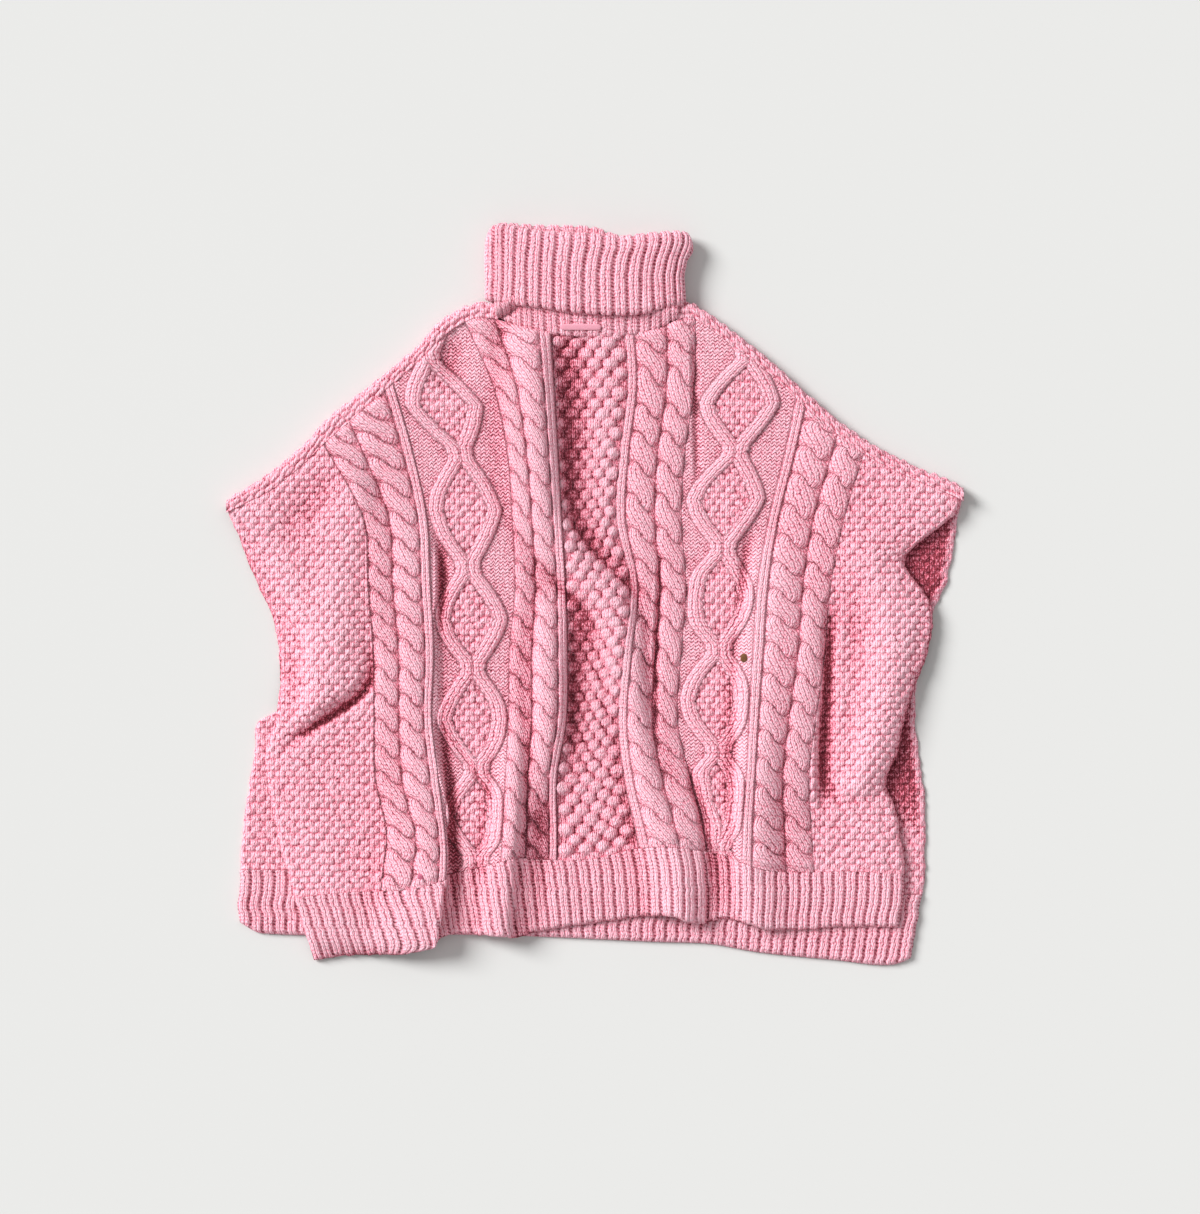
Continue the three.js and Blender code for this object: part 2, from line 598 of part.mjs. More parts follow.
// Three lines to each rib of a hem: a narrow groove, then the rib's two shoulders
function ribLines(ribs, lineAt) {
  const lines = [lineAt(0, 0)];
  for (let rib = 0; rib < ribs; rib += 1) {
    for (const [part, height] of [[0.25, RIB_HEIGHT], [0.7, RIB_HEIGHT], [1, 0]]) {
      lines.push(lineAt((rib + part) / ribs, height));
    }
  }
  return lines;
}

function frontPanel() {
  const lines = [frontLine(leftEdge, BORDER_ROWS, () => 0), ...mossLines(0, 4)];
  COLUMNS.forEach((column, index) => {
    lines.push(frontLine((y) => bandLine(index, y), BORDER_ROWS, () => 0));
    lines.push(...LINES_OF[column.kind](index, column));
  });
  const end = COLUMNS.length;
  lines.push(frontLine((y) => bandLine(end, y), BORDER_ROWS, () => 0), ...mossLines(end + 1, 6));
  lines.push(frontLine(rightEdge, BORDER_ROWS, () => 0));
  const kinds = ["moss", ...COLUMNS.map((column) => column.kind), "moss"];
  const under = kinds.flatMap((kind, band) => UNDER_SHARES[kind].map((share) => {
    const where = (y) => mix(bandLine(band - 1, y), bandLine(band, y), share);
    return frontLine(where, UNDER_ROWS, () => 0, UNDER_INSET);
  }));
  return clothWall(lines, under).mesh("front_panel", PINK);
}

function frontHem() {
  const lines = ribLines(FRONT_RIBS, (share, height) => hemLine(share, HEM_ROWS, height, 0));
  const under = evenly(HEM_UNDER_LINES).map((share) => hemLine(share, HEM_ROWS, 0, HEM_INSET));
  return clothWall(lines, under).mesh("front_hem", PINK);
}

// The back panel's flat line at a share of its width, from one border curve up to another
function backLine(share, lower, upper, rows, height, inset) {
  const where = (y) => mix(backSide("left", y), backSide("right", y), share);
  const meet = (border) => {
    let y = border(where(0));
    for (let i = 0; i < MEET_STEPS; i += 1) y = mix(y, border(where(y)), 0.6);
    return y;
  };
  const [bottom, top] = [meet(lower), meet(upper)];
  return Array.from({ length: rows + 1 }, (_, row) => {
    const y = mix(bottom, top, mix(inset, 1 - inset, row / rows));
    return { t: row / rows, high: [where(y), y, WALL + height], low: [where(y), y, 0] };
  });
}

const atNeck = (x) => x > NECK.left && x < NECK.right;

// Half the depth, along Y, of the back panel's roll over the shoulder at x
const rollReach = (x) => Math.min(ROLL_REACH, (outerAt(x) - seamAt(x)) * 0.45);

function backBorder(x) {
  return atNeck(x) ? NECK.backTop : outerAt(x) - rollReach(x);
}

function backPlate() {
  const lineAt = (share, rows, inset) =>
    backLine(share, (x) => backHem("top", x) + RIB_GAP, backBorder, rows, 0, inset);
  const lines = Array.from({ length: BACK_LINES + 1 }, (_, i) => lineAt(i / BACK_LINES, BACK_ROWS, 0));
  const under = evenly(BACK_UNDER_LINES).map((share) => lineAt(share, BACK_UNDER_LINES, BACK_INSET));
  return clothWall(lines, under);
}

function backHemPiece() {
  const lines = ribLines(BACK_RIBS, (share, height) =>
    backLine(share, (x) => backHem("end", x), (x) => backHem("top", x), 1, height, 0));
  const under = evenly(BACK_UNDER_LINES).map((share) =>
    backLine(share, (x) => backHem("end", x), (x) => backHem("top", x), 1, 0, BACK_INSET * 4));
  return clothWall(lines, under).mesh("back_hem", PINK);
}

// The section, in Y and Z, of the back panel where it rolls over the shoulder onto the front
function rollSection(x) {
  const reach = rollReach(x);
  const [middle, radius] = [outerAt(x) - reach, SHOULDER_ROLL / 2];
  const seam = seamAt(x) + ROLL_GAP;
  const arc = (depth, height, steps) => Array.from({ length: steps + 1 }, (_, i) => {
    const angle = Math.PI * (i / steps - 0.5);
    return [middle + depth * Math.cos(angle), radius + height * Math.sin(angle)];
  });
  const outside = arc(reach, radius, ROLL_STEPS);
  const inside = arc(Math.max(reach - WALL, 1), radius - WALL, ROLL_STEPS).reverse();
  return [[middle - ROLL_LAP, 0.5], ...outside, [seam, SHOULDER_ROLL], [seam, SHOULDER_ROLL - WALL],
    ...inside, [middle - ROLL_LAP, WALL - 0.5]];
}

// Joins rings of equal length into a closed body with a flat cap at each end
function loft(rings) {
  const shell = new Shell();
  const ids = rings.map((ring) => ring.map((point) => shell.add(point)));
  const count = ids[0].length;
  for (let i = 0; i + 1 < ids.length; i += 1) {
    for (let k = 0; k < count; k += 1) {
      const next = (k + 1) % count;
      shell.faces.push(ids[i][k], ids[i][next], ids[i + 1][next]);
      shell.faces.push(ids[i][k], ids[i + 1][next], ids[i + 1][k]);
    }
  }
  return { shell, ids };
}

function shoulderRoll(from, to) {
  const rings = Array.from({ length: ROLL_LENGTHS + 1 }, (_, i) => {
    const x = mix(from, to, i / ROLL_LENGTHS);
    return rollSection(x).map(([y, z]) => [x, y, z]);
  });
  const { shell, ids } = loft(rings);
  const outline = rollSection(from).map(([y, z]) => new THREE.Vector2(y, z));
  const cap = THREE.ShapeUtils.triangulateShape(outline, []);
  cap.forEach(([a, b, c]) => {
    shell.faces.push(ids[0][c], ids[0][b], ids[0][a]);
    shell.faces.push(ids[ROLL_LENGTHS][a], ids[ROLL_LENGTHS][b], ids[ROLL_LENGTHS][c]);
  });
  return shell;
}

function solidOf(wasm, shell) {
  const geometry = new THREE.BufferGeometry();
  geometry.setAttribute("position", new THREE.Float32BufferAttribute(shell.points, 3));
  geometry.setIndex(shell.faces);
  const merged = mergeVertices(geometry, 1e-3);
  return new wasm.Manifold(new wasm.Mesh({
    numProp: 3,
    vertProperties: merged.attributes.position.array,
    triVerts: new Uint32Array(merged.index.array),
  }));
}

async function backPanel() {
  const wasm = await Module();
  wasm.setup();
  const { left, right } = NECK;
  const [first, last] = [SHOULDERS[0].x + 1, SHOULDERS[SHOULDERS.length - 1].x - 1];
  const joined = solidOf(wasm, backPlate())
    .add(solidOf(wasm, shoulderRoll(first, left - NECK.clear)))
    .add(solidOf(wasm, shoulderRoll(right + NECK.clear, last)));
  const made = joined.getMesh();
  const geometry = new THREE.BufferGeometry();
  geometry.setAttribute("position", new THREE.Float32BufferAttribute(made.vertProperties, 3));
  geometry.setIndex(new THREE.BufferAttribute(made.triVerts, 1));
  return namedMesh("back_panel", geometry, PINK);
}

// The lower edge of the turned-down collar on the front, and the neck's seam, by share of its width
const collarEnd = (x) => readTable(COLLAR_END, "x", "y", x);

// One ring of the turtleneck: evenly stepped shares run left to right over the front, then back
function collarRing(ring) {
  return Array.from({ length: 2 * COLLAR_STEPS }, (_, k) => {
    const front = k <= COLLAR_STEPS;
    const share = front ? -1 + (2 * k) / COLLAR_STEPS : 3 - (2 * k) / COLLAR_STEPS;
    const across = 0.6 * share + 0.2 * (3 * share - share ** 3);
    const x = COLLAR_MIDDLE + ring.half * across;
    const round = Math.sqrt(Math.max(0, 1 - Math.abs(across) ** 5));
    const [middle, depth] = [(ring.high + ring.low) / 2, (ring.high - ring.low) / 2];
    const raised = ring.ribbed && k % 3 !== 0 ? COLLAR_RIB_HEIGHT * round : 0;
    const z = front ? middle + depth * round + raised : middle - depth * round;
    const frontY = ring.end ? ring.end(x) : ring.y;
    const backY = ring.back ?? ring.y;
    return [x, mix(backY, frontY, front ? 0.5 + 0.5 * round : 0.5 - 0.5 * round), z];
  });
}

function turtleneck() {
  const { shell, ids } = loft(COLLAR_RINGS.map(collarRing));
  const [first, last] = [ids[ids.length - 1], ids[0]];
  first.forEach((id, k) => {
    const next = (k + 1) % first.length;
    shell.faces.push(id, first[next], last[next]);
    shell.faces.push(id, last[next], last[k]);
  });
  return shell.mesh("turtleneck", PINK);
}

// A small plain tab sewn under the collar, lying on the neck's slope
function neckTab() {
  const { width, height, thickness, corner } = TAB;
  const shape = new THREE.Shape();
  shape.moveTo(-width / 2 + corner, -height / 2);
  shape.lineTo(width / 2 - corner, -height / 2);
  shape.quadraticCurveTo(width / 2, -height / 2, width / 2, 0);
  shape.quadraticCurveTo(width / 2, height / 2, width / 2 - corner, height / 2);
  shape.lineTo(-width / 2 + corner, height / 2);
  shape.quadraticCurveTo(-width / 2, height / 2, -width / 2, 0);
  shape.quadraticCurveTo(-width / 2, -height / 2, -width / 2 + corner, -height / 2);
  const options = { depth: thickness, bevelEnabled: false, curveSegments: 4 };
  const geometry = new THREE.ExtrudeGeometry(shape, options);
  const mesh = namedMesh("neck_tab", geometry, TAB_PINK);
  mesh.position.set(TAB.x, TAB.y, TAB.z);
  mesh.rotation.x = TAB.tilt;
  return mesh;
}

// A small tight knot of yarn on the front panel
function knot(name, { x, y, z, radius, height }, look) {
  const geometry = new THREE.SphereGeometry(radius, 12, 8);
  geometry.scale(1, 1, height / (2 * radius));
  const mesh = namedMesh(name, geometry, look);
  mesh.position.set(x, y, z);
  return mesh;
}

const garment = new THREE.Group();
garment.add(
  await backPanel(),
  backHemPiece(),
  frontPanel(),
  frontHem(),
  turtleneck(),
  neckTab(),
  knot("hem_knot", HEM_KNOT, PINK),
  knot("side_knot", SIDE_KNOT, BROWN),
);
garment.position.set(-CENTRE.x, -CENTRE.y, 0);

export default garment;
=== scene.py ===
"""Looks of a knitted poncho sweater laid flat, front up, with its turtleneck turned down.

Lengths are millimetres until the mesh is made, with +X to the viewer's right, +Y towards the
neck and +Z up from the surface that the garment lies on.
"""

import bpy
import numpy as np
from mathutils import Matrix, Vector


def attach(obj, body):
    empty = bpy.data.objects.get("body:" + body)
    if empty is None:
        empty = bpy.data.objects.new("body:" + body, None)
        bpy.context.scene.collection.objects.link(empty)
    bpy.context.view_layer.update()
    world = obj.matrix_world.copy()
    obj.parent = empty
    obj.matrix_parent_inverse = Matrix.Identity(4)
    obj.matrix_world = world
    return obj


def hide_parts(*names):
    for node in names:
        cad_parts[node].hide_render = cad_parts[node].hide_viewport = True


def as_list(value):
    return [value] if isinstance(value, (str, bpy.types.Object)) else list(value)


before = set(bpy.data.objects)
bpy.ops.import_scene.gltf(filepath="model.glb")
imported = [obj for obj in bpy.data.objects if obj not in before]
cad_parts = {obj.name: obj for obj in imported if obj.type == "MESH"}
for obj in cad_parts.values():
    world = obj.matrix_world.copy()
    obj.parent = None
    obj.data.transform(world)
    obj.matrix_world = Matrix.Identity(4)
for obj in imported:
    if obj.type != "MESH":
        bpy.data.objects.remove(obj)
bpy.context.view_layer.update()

MM = 0.001
CENTRE_Y = -5  # the garment's own middle, moved to the origin

# Sizes of the cloth: the wall is the solids' own, and the knitting stands a little prouder
WALL = 4.6
STEEPEST_WALL = 2.2  # the wall of a steep slope is at most this many times as high
SEAM_GAP = 0.06
CABLE_HEIGHT = 6.2
ROPE_HEIGHT = 4.8
ROPE_HALF = 7.9
ROPE_CLEAR = 0.8
RIDGE_HEIGHT = 2.6
BOBBLE_HEIGHT = 5.8
RIB_HEIGHT = 2.9
MOSS_HEIGHT = 3.0
PURL_HEIGHT = 0.7

# Heights of the front's underside, and how far in from each edge it takes to reach them
FRONT_REST = 11
RIGHT_EDGE_REST = 8
HEM_REST = 7.9
LEFT_EDGE_SLOPE = 40
RIGHT_EDGE_SLOPE = 30
HEM_SLOPE = 45

# Stitch sizes
ROW = 4.3  # height of a knitted row
MOSS_PITCH = (10.5, 13.0)  # from one bump to the next in a row, and over two rows
MOSS_BUMP = (5.2, 3.9)
BOBBLE_COLUMNS, BOBBLE_ROWS = 9, 52
BOBBLE_HALF = (7.9, 7.4)
PURL_WALE, PURL_ROW = 5, 3.8
RIB_ROW = 3.9
STRAND_SWING, STRAND_TURN = 0.44, 0.93  # how far a cable's strand swings, and how sharply it turns
WALE_GROOVE, STRAND_CREASE = 0.45, 1.8

# Steps of the meshes
ACROSS_STEP = 1.2
ALONG_STEP = 1.4
UNDER_STRIDE = 12
FRONT_LENGTH = 580
FRONT_RIB_POINTS, BACK_RIB_POINTS, COLLAR_RIB_POINTS = 12, 11, 12
FRONT_HEM_ROWS, BACK_HEM_ROWS, BACK_ROWS = 52, 44, 381
EDGE_ROUND = 5  # how far in an open edge of the cloth is rounded

# Painted shade and light in the knitting's colour, from 0 deep in a gap or fold to 1 on raised
# knitting and crests: how far round a point its mean height is taken, in mesh steps, the heights
# that count, and the shades of flat cloth, of the hidden underside and of plain pieces
FINE_REACH, BROAD_REACH = 4, 16
FINE_SPAN, BROAD_SPAN = 5.6, 6.5
CREST_LIMIT, CREST_SPAN = 1.2, 11
FLAT_SHADE, UNDER_SHADE, SMALL_SHADE = 0.65, 0.4, 0.7

# The camera looks straight down, and the picture is so wide at this height, in metres
CAMERA_AT = (0.00525, -0.0076, 5.0)
PICTURE_WIDTH, PICTURE_LEVEL = 1.2747, 0.012
SENSOR = 36
WORLD_STRENGTH = 0.50
FLOOR_HALF, FLOOR_DROP = 4, 0.0004


def table(names, *rows):
    """Rows of numbers as one array for each named column."""
    return dict(zip(names.split(), np.array(rows, float).T))


def fold(*rows):
    """The line of a crest or hollow, a row wherever it changes, from its lower end up."""
    return table("y x rise left right", *rows)


# The knitted columns from left to right, with the x of each one's middle at these heights
STATIONS = [-370, -310, -250, -190, -130, -60, 10, 80, 150, 220, 290]
COLUMNS = [
    {"kind": "cable", "half": 12.5, "pitch": 27.3,
     "x": [-208, -212, -206, -218, -219, -220, -225, -230, -267, -310, -350]},
    {"kind": "cable", "half": 12.5, "pitch": 27.3,
     "x": [-196, -192, -181, -187, -192, -192, -199, -202, -219, -239, -258]},
    {"kind": "ridge", "half": 4.4,
     "x": [-186, -177, -171, -169, -175, -173, -176, -180, -195, -215, -235]},
    {"kind": "diamond", "half": 0, "reach": (35, 33), "crossings": [-279, -183, -77, 29, 148, 248],
     "x": [-128, -126, -124, -124, -126, -129, -132, -137, -142, -166, -189]},
    {"kind": "cable", "half": 10.5, "pitch": 30,
     "x": [-91, -89, -86, -83, -80, -79, -73, -76, -81, -96, -127]},
    {"kind": "cable", "half": 10.5, "pitch": 30,
     "x": [-61, -60, -57, -57, -52, -53, -52, -56, -62, -69, -83]},
    {"kind": "ridge", "half": 4.4,
     "x": [-44, -44, -44, -44, -34, -33, -35, -39, -43, -47, -51]},
    {"kind": "bobbles", "half": 0, "x": []},
    {"kind": "ridge", "half": 4.4,
     "x": [64, 60, 48, 35, 29, 35, 42, 27, 31, 39, 34]},
    {"kind": "cable", "half": 13, "pitch": 32.5,
     "x": [89, 85, 70, 54, 47, 50, 54, 48, 50, 59, 58]},
    {"kind": "cable", "half": 13, "pitch": 32.5,
     "x": [113, 110, 102, 87, 74, 78, 83, 78, 82, 92, 93]},
    {"kind": "diamond", "half": 0, "reach": (40, 32), "crossings": [-266, -164, -57, 49, 151, 251],
     "x": [133, 131, 129, 129, 130, 130, 132, 137, 147, 157, 166]},
    {"kind": "ridge", "half": 4.4,
     "x": [160, 158, 159, 163, 166, 170, 175, 187, 204, 218, 231]},
    {"kind": "cable", "half": 14, "pitch": 29.5,
     "x": [187, 186, 184, 183, 189, 198, 203, 211, 230, 251, 270]},
    {"kind": "cable", "half": 14, "pitch": 29.5,
     "x": [219, 217, 214, 211, 218, 228, 234, 248, 269, 289, 308]},
]

FRONT_LEFT_EDGE = table(
    "y x", (-384, -296), (-340, -309), (-300, -320), (-250, -334), (-190, -345), (-160, -345),
    (-125, -334), (-75, -331), (-25, -339), (10, -354), (80, -382), (150, -409), (290, -462))
FRONT_RIGHT_EDGE = table(
    "y x", (-349, 319), (-290, 325), (-231, 317), (-196, 306), (-165, 318), (-130, 325), (-85, 340),
    (-60, 349), (-25, 355), (0, 348), (35, 323), (50, 335), (71, 361), (88, 381), (110, 387), (170, 410))
FRONT_HEM = table(
    "x top end", (-314, -318, -386), (-262, -312, -379), (-205, -309, -377), (-176, -300, -372),
    (-157, -294, -358), (-125, -287, -357), (-83, -276, -359), (-58, -278, -353), (-3, -277, -345),
    (39, -267, -339), (74, -264, -336), (110, -268, -345), (140, -275, -340), (175, -288, -350),
    (215, -291, -352), (268, -290, -348), (323, -293, -349))
SHOULDERS = table(
    "x outer seam", (-388, 98, 86), (-340, 129, 110), (-301, 161, 142), (-286, 180, 157),
    (-233, 222, 203), (-185, 262, 245), (-165, 285, 266), (-141, 300, 284), (-116, 307, 291),
    (-60, 307, 278), (0, 307, 274), (60, 307, 278), (100, 306, 291), (133, 285, 270),
    (187, 243, 229), (220, 213, 198), (275, 168, 153), (329, 138, 124), (376, 118, 104), (388, 110, 98))
NECK_LEFT, NECK_RIGHT, NECK_BACK_TOP = -116, 100, 296
SHOULDER_ROLL = 16
BACK_SIDES = table(
    "y left right", (-392, -368, 330), (-330, -375, 341), (-290, -373, 347), (-220, -367, 347),
    (-170, -358, 341), (-134, -354, 337), (-122, -334, 337), (-108, -308, 337), (-70, -304, 341),
    (-25, -311, 352), (15, -325, 370), (60, -353, 378), (90, -381, 384), (115, -389, 388))
BACK_HEM = table(
    "x top end", (-376, -289, -343), (-350, -289, -356), (-180, -292, -357), (-70, -296, -359),
    (66, -302, -365), (120, -305, -367), (173, -308, -376), (253, -312, -384), (312, -315, -389),
    (345, -315, -376))
LEFT_EDGE_REST = table(
    "y z", (-390, 8), (-270, 7.6), (-128, 6.4), (-108, 5.8), (-92, 3), (-75, 0.6), (25, 0.6),
    (60, 3.5), (80, 8), (100, 10))

# Folds of the laid front that its solids have as well
CREST = fold(
    (-390, -188, 13, 64, 11), (-320, -180, 14, 64, 12), (-268, -172, 13, 62, 13),
    (-194, -168, 10, 60, 15), (-110, -173, 6, 55, 15), (-5, -175, 7, 50, 15), (60, -180, 4, 45, 15),
    (121, -189, 0, 40, 15))
FOLDS = [
    CREST,
    # a soft bulge in the left moss
    fold((-125, -312, 0, 36, 30), (-100, -295, 5, 36, 32), (-60, -275, 7, 40, 34),
         (-5, -264, 4, 44, 34), (50, -262, 0, 44, 30)),
    # the slanting crease in the left moss
    fold((-168, -341, 0, 22, 26), (-148, -320, -3, 24, 26), (-119, -273, -5, 26, 24),
         (-95, -245, -5, 22, 18), (-65, -234, -3, 16, 12), (-45, -232, 0, 14, 10)),
    # the hollow under the left shoulder
    fold((35, -335, 0, 34, 34), (68, -318, -3, 34, 34), (100, -298, -3, 34, 34),
         (132, -276, 0, 34, 34)),
    # the crest along the inner left cable
    fold((-390, -101, 8, 32, 15), (-300, -95, 9, 32, 15), (-236, -88, 8, 30, 15),
         (-173, -85, 5, 26, 15), (-100, -85, 0, 23, 15)),
    # the hollow beside the centre panel
    fold((-390, -54, -3, 18, 20), (-278, -56, -3, 16, 18), (-215, -54, -3, 14, 16),
         (-170, -52, 0, 14, 16)),
    # the hollow of the centre panel
    fold((-190, -18, 0, 20, 26), (-120, -18, -3, 20, 26), (-40, -14, -2, 22, 26),
         (40, -8, -1, 24, 28), (120, -16, -4, 28, 30), (205, -18, -4, 28, 30), (290, -20, -2, 26, 28)),
    # the crest down the right inner ridge
    fold((-390, 84, 9, 34, 28), (-310, 79, 9, 34, 30), (-257, 69, 8, 34, 32),
         (-205, 52, 5, 30, 32), (-150, 34, 0, 22, 26)),
    # the valley left of the right diamonds
    fold((-390, 128, -3, 20, 20), (-300, 124, -3, 16, 18), (-233, 116, -4, 12, 14),
         (-205, 107, -4, 11, 12), (-170, 96, 0, 10, 12)),
    # the crest of the right outer ridge
    fold((-390, 175, 7, 30, 38), (-310, 165, 8, 22, 42), (-257, 159, 8, 16, 42),
         (-173, 162, 5, 15, 42), (-110, 166, 0, 15, 34)),
    # the deep valley beside the right cables
    fold((-228, 262, 0, 14, 12), (-210, 250, -4, 14, 12), (-184, 244, -5, 14, 12),
         (-110, 246, -5, 13, 13), (-47, 246, -4, 12, 13), (0, 249, 0, 12, 13)),
    # the large bulge of the right moss
    fold((-214, 276, 0, 26, 32), (-200, 279, 8, 26, 32), (-173, 285, 11, 32, 36),
         (-110, 299, 10, 44, 40), (-26, 305, 8, 50, 52), (37, 288, 5, 44, 44), (100, 290, 0, 40, 50)),
]

# Folds of this scene alone: the long one across the centre panel, and finer creases
CREASES = [
    # the bulge above the slanting crease, steep towards it, and the crease under it
    fold((-176, -356, 0, 34, 22), (-147, -330, 4, 40, 24), (-121, -294, 7, 44, 26),
         (-98, -264, 7, 44, 22), (-74, -250, 3, 40, 16), (-52, -248, 0, 34, 14)),
    fold((-180, -346, 0, 18, 16), (-147, -304, -4, 22, 17), (-121, -262, -5, 22, 15),
         (-100, -237, -5, 15, 10), (-80, -232, -2, 8, 8), (-64, -231, 0, 6, 7)),
    # the two dark hollows right of the left ridge
    fold((-55, -163, 0, 6, 8), (-25, -164, -3, 7, 10), (0, -161, -5, 8, 14),
         (35, -161, -5, 8, 13), (60, -162, 0, 8, 10)),
    fold((-390, -146, -5, 12, 16), (-300, -146, -5, 12, 14), (-215, -152, -5, 9, 16),
         (-190, -156, -5, 9, 16), (-150, -163, -4, 8, 14), (-118, -166, 0, 7, 9)),
    # the long fold that comes down beside the neck, crosses the centre panel and runs on to the hem
    fold((-390, 84, 3, 32, 26), (-299, 79, 3, 32, 26), (-247, 72, 4, 32, 26),
         (-194, 57, 6, 30, 25), (-142, 43, 8, 28, 24), (-89, 34, 11, 28, 24), (-30, 28, 13, 36, 26),
         (-4, 18, 14, 46, 30), (21, -6, 14, 50, 34), (48, -32, 14, 48, 33), (78, -48, 14, 46, 28),
         (130, -55, 15, 48, 27), (205, -60, 15, 50, 27), (262, -64, 10, 44, 25), (290, -66, 0, 34, 22)),
    # the hollow right of its upper part
    fold((20, 22, 0, 16, 24), (50, -4, -2, 18, 32), (90, -22, -2, 18, 38),
         (205, -29, -2, 18, 40), (262, -33, -2, 16, 36), (288, -36, 0, 14, 28)),
    # the edge that shades the lower centre panel from the left
    fold((-232, -52, 0, 28, 20), (-190, -50, 8, 30, 22), (-110, -46, 11, 30, 23),
         (-40, -46, 10, 28, 24), (14, -44, 0, 24, 24)),
    fold((-200, -20, 0, 14, 24), (-150, -22, -2, 14, 28), (-45, -21, -2, 14, 28),
         (-20, -18, 0, 14, 22)),
    # the long slope from the right outer ridge down to the deep valley
    fold((-300, 160, 0, 18, 60), (-240, 158, 6, 20, 74), (-190, 161, 10, 22, 80),
         (-60, 168, 10, 24, 74), (10, 172, 7, 22, 64), (70, 180, 0, 20, 50)),
    # the hollow under the left shoulder beside the neck
    fold((205, -152, 0, 28, 26), (236, -152, -5, 30, 30), (262, -150, -5, 28, 30),
         (288, -146, 0, 24, 26)),
    # the long swell down the left moss
    fold((-110, -306, 0, 36, 30), (-42, -290, 2, 40, 34), (52, -264, 4, 40, 30),
         (120, -250, 3, 36, 26), (190, -241, 0, 30, 24)),
    # the dark gaps beside the right diamonds
    fold((100, 108, 0, 6, 8), (140, 107, -3, 7, 9), (250, 104, -3, 7, 9), (276, 102, 0, 6, 8)),
    fold((-35, 156, 0, 12, 12), (0, 157, -3, 12, 12), (45, 160, -3, 12, 12),
         (75, 164, 0, 12, 12)),
    # the left bank of the hollow at the right of the hem
    fold((-390, 101, 8, 30, 24), (-280, 99, 9, 30, 24), (-232, 91, 7, 28, 22),
         (-180, 74, 0, 24, 18)),
    fold((-390, 141, -3, 16, 16), (-300, 139, -2, 16, 15), (-235, 132, 0, 14, 14)),
    # the swell of the crest along the inner left cable
    fold((-390, -96, 5, 30, 20), (-280, -92, 6, 30, 28), (-200, -86, 5, 28, 26),
         (-120, -84, 0, 26, 20)),
    # the crease from the left ridge down across the lowest left diamond
    fold((-222, -98, 0, 10, 8), (-200, -116, -3, 10, 8), (-160, -142, -3, 10, 8),
         (-135, -158, 0, 8, 8)),
    # the furrow between the right inner cables
    fold((-160, 62, 0, 6, 7), (-130, 64, -3, 6, 7), (-40, 65, -3, 6, 7), (20, 68, -3, 6, 7),
         (45, 68, 0, 6, 7)),
    # the bank of the deep valley beside the right cables, and the slower rise of its other side
    fold((-232, 228, 0, 34, 14), (-200, 226, 3, 34, 14), (-110, 226, 3, 34, 14),
         (-40, 227, 3, 32, 14), (20, 232, 0, 30, 14)),
    fold((-216, 276, 0, 16, 30), (-190, 273, -3, 17, 36), (-110, 276, -4, 20, 40),
         (-40, 276, -4, 20, 40), (30, 270, 0, 18, 36)),
    # the valley's own floor, close beside the cable
    fold((-232, 242, 0, 8, 10), (-205, 236, -4, 9, 12), (-150, 236, -4, 9, 12),
         (-100, 241, -3, 8, 12), (-50, 247, -2, 8, 12), (0, 252, 0, 8, 12)),
]

# The left crest leans to the right near the hem, and the hem's end drops under it
LEAN = {"amount": 15, "from": -170, "full": -300, "low": 16, "high": 29,
        "left": 60, "flat": 10, "right": 34}
FLAP = {"right": -150, "start": -360, "end": -379, "drop": 6}

FRONT_RIBS = 53
BACK_RIBS = 57
ROLL_REACH = 8.5

COLLAR_RIBS = 32  # all round
COLLAR_END = table(
    "x y", (-115, 314), (-98, 308), (-60, 303), (-25, 298), (20, 295), (50, 296), (74, 302), (105, 306))

COLLAR_TOP = table(
    "x front rim", (-116, 368, 366), (-108, 385, 384), (-98, 388, 390), (-75, 384, 389), (-55, 381, 388),
    (-3, 378, 386), (26, 375, 377), (42, 377, 378), (88, 381, 380), (98, 378, 376), (106, 364, 362))
ROLL_TUCK = 14  # how far a shoulder roll runs on under the collar
ROLL_END = 387

TAB = {"width": 43, "height": 6.5, "thickness": 1.8, "x": -15, "y": 281, "z": 20.45, "tilt": 0.22,
       "thread": 1.2}
HEM_KNOT = {"x": -182, "y": -295, "radius": 4.2, "height": 6}
SIDE_KNOT = {"x": 156.5, "y": -66, "radius": 4.8, "height": 4.5}


# Smooth reading of a table


def smooth(t):
    s = np.clip(t, 0, 1)
    return s * s * (3 - 2 * s)


def mix(a, b, t):
    return a + (b - a) * t


def curve(places, values, at):
    """A smooth curve through the values given at rising places, straight beyond both ends."""
    places, values = np.asarray(places, float), np.asarray(values, float)
    at = np.asarray(at, float)
    count = len(places)
    before = np.maximum(np.arange(count) - 1, 0)
    after = np.minimum(np.arange(count) + 1, count - 1)
    slope = (values[after] - values[before]) / (places[after] - places[before])
    i = np.clip(np.searchsorted(places, at, side="right") - 1, 0, count - 2)
    span = places[i + 1] - places[i]
    t = (at - places[i]) / span
    rise = values[i + 1] - values[i]
    bend = (1 - t) * (slope[i] * span - rise) - t * (slope[i + 1] * span - rise)
    inside = values[i] + rise * t + t * (1 - t) * bend
    low = values[0] + slope[0] * (at - places[0])
    high = values[-1] + slope[-1] * (at - places[-1])
    return np.where(at <= places[0], low, np.where(at >= places[-1], high, inside))


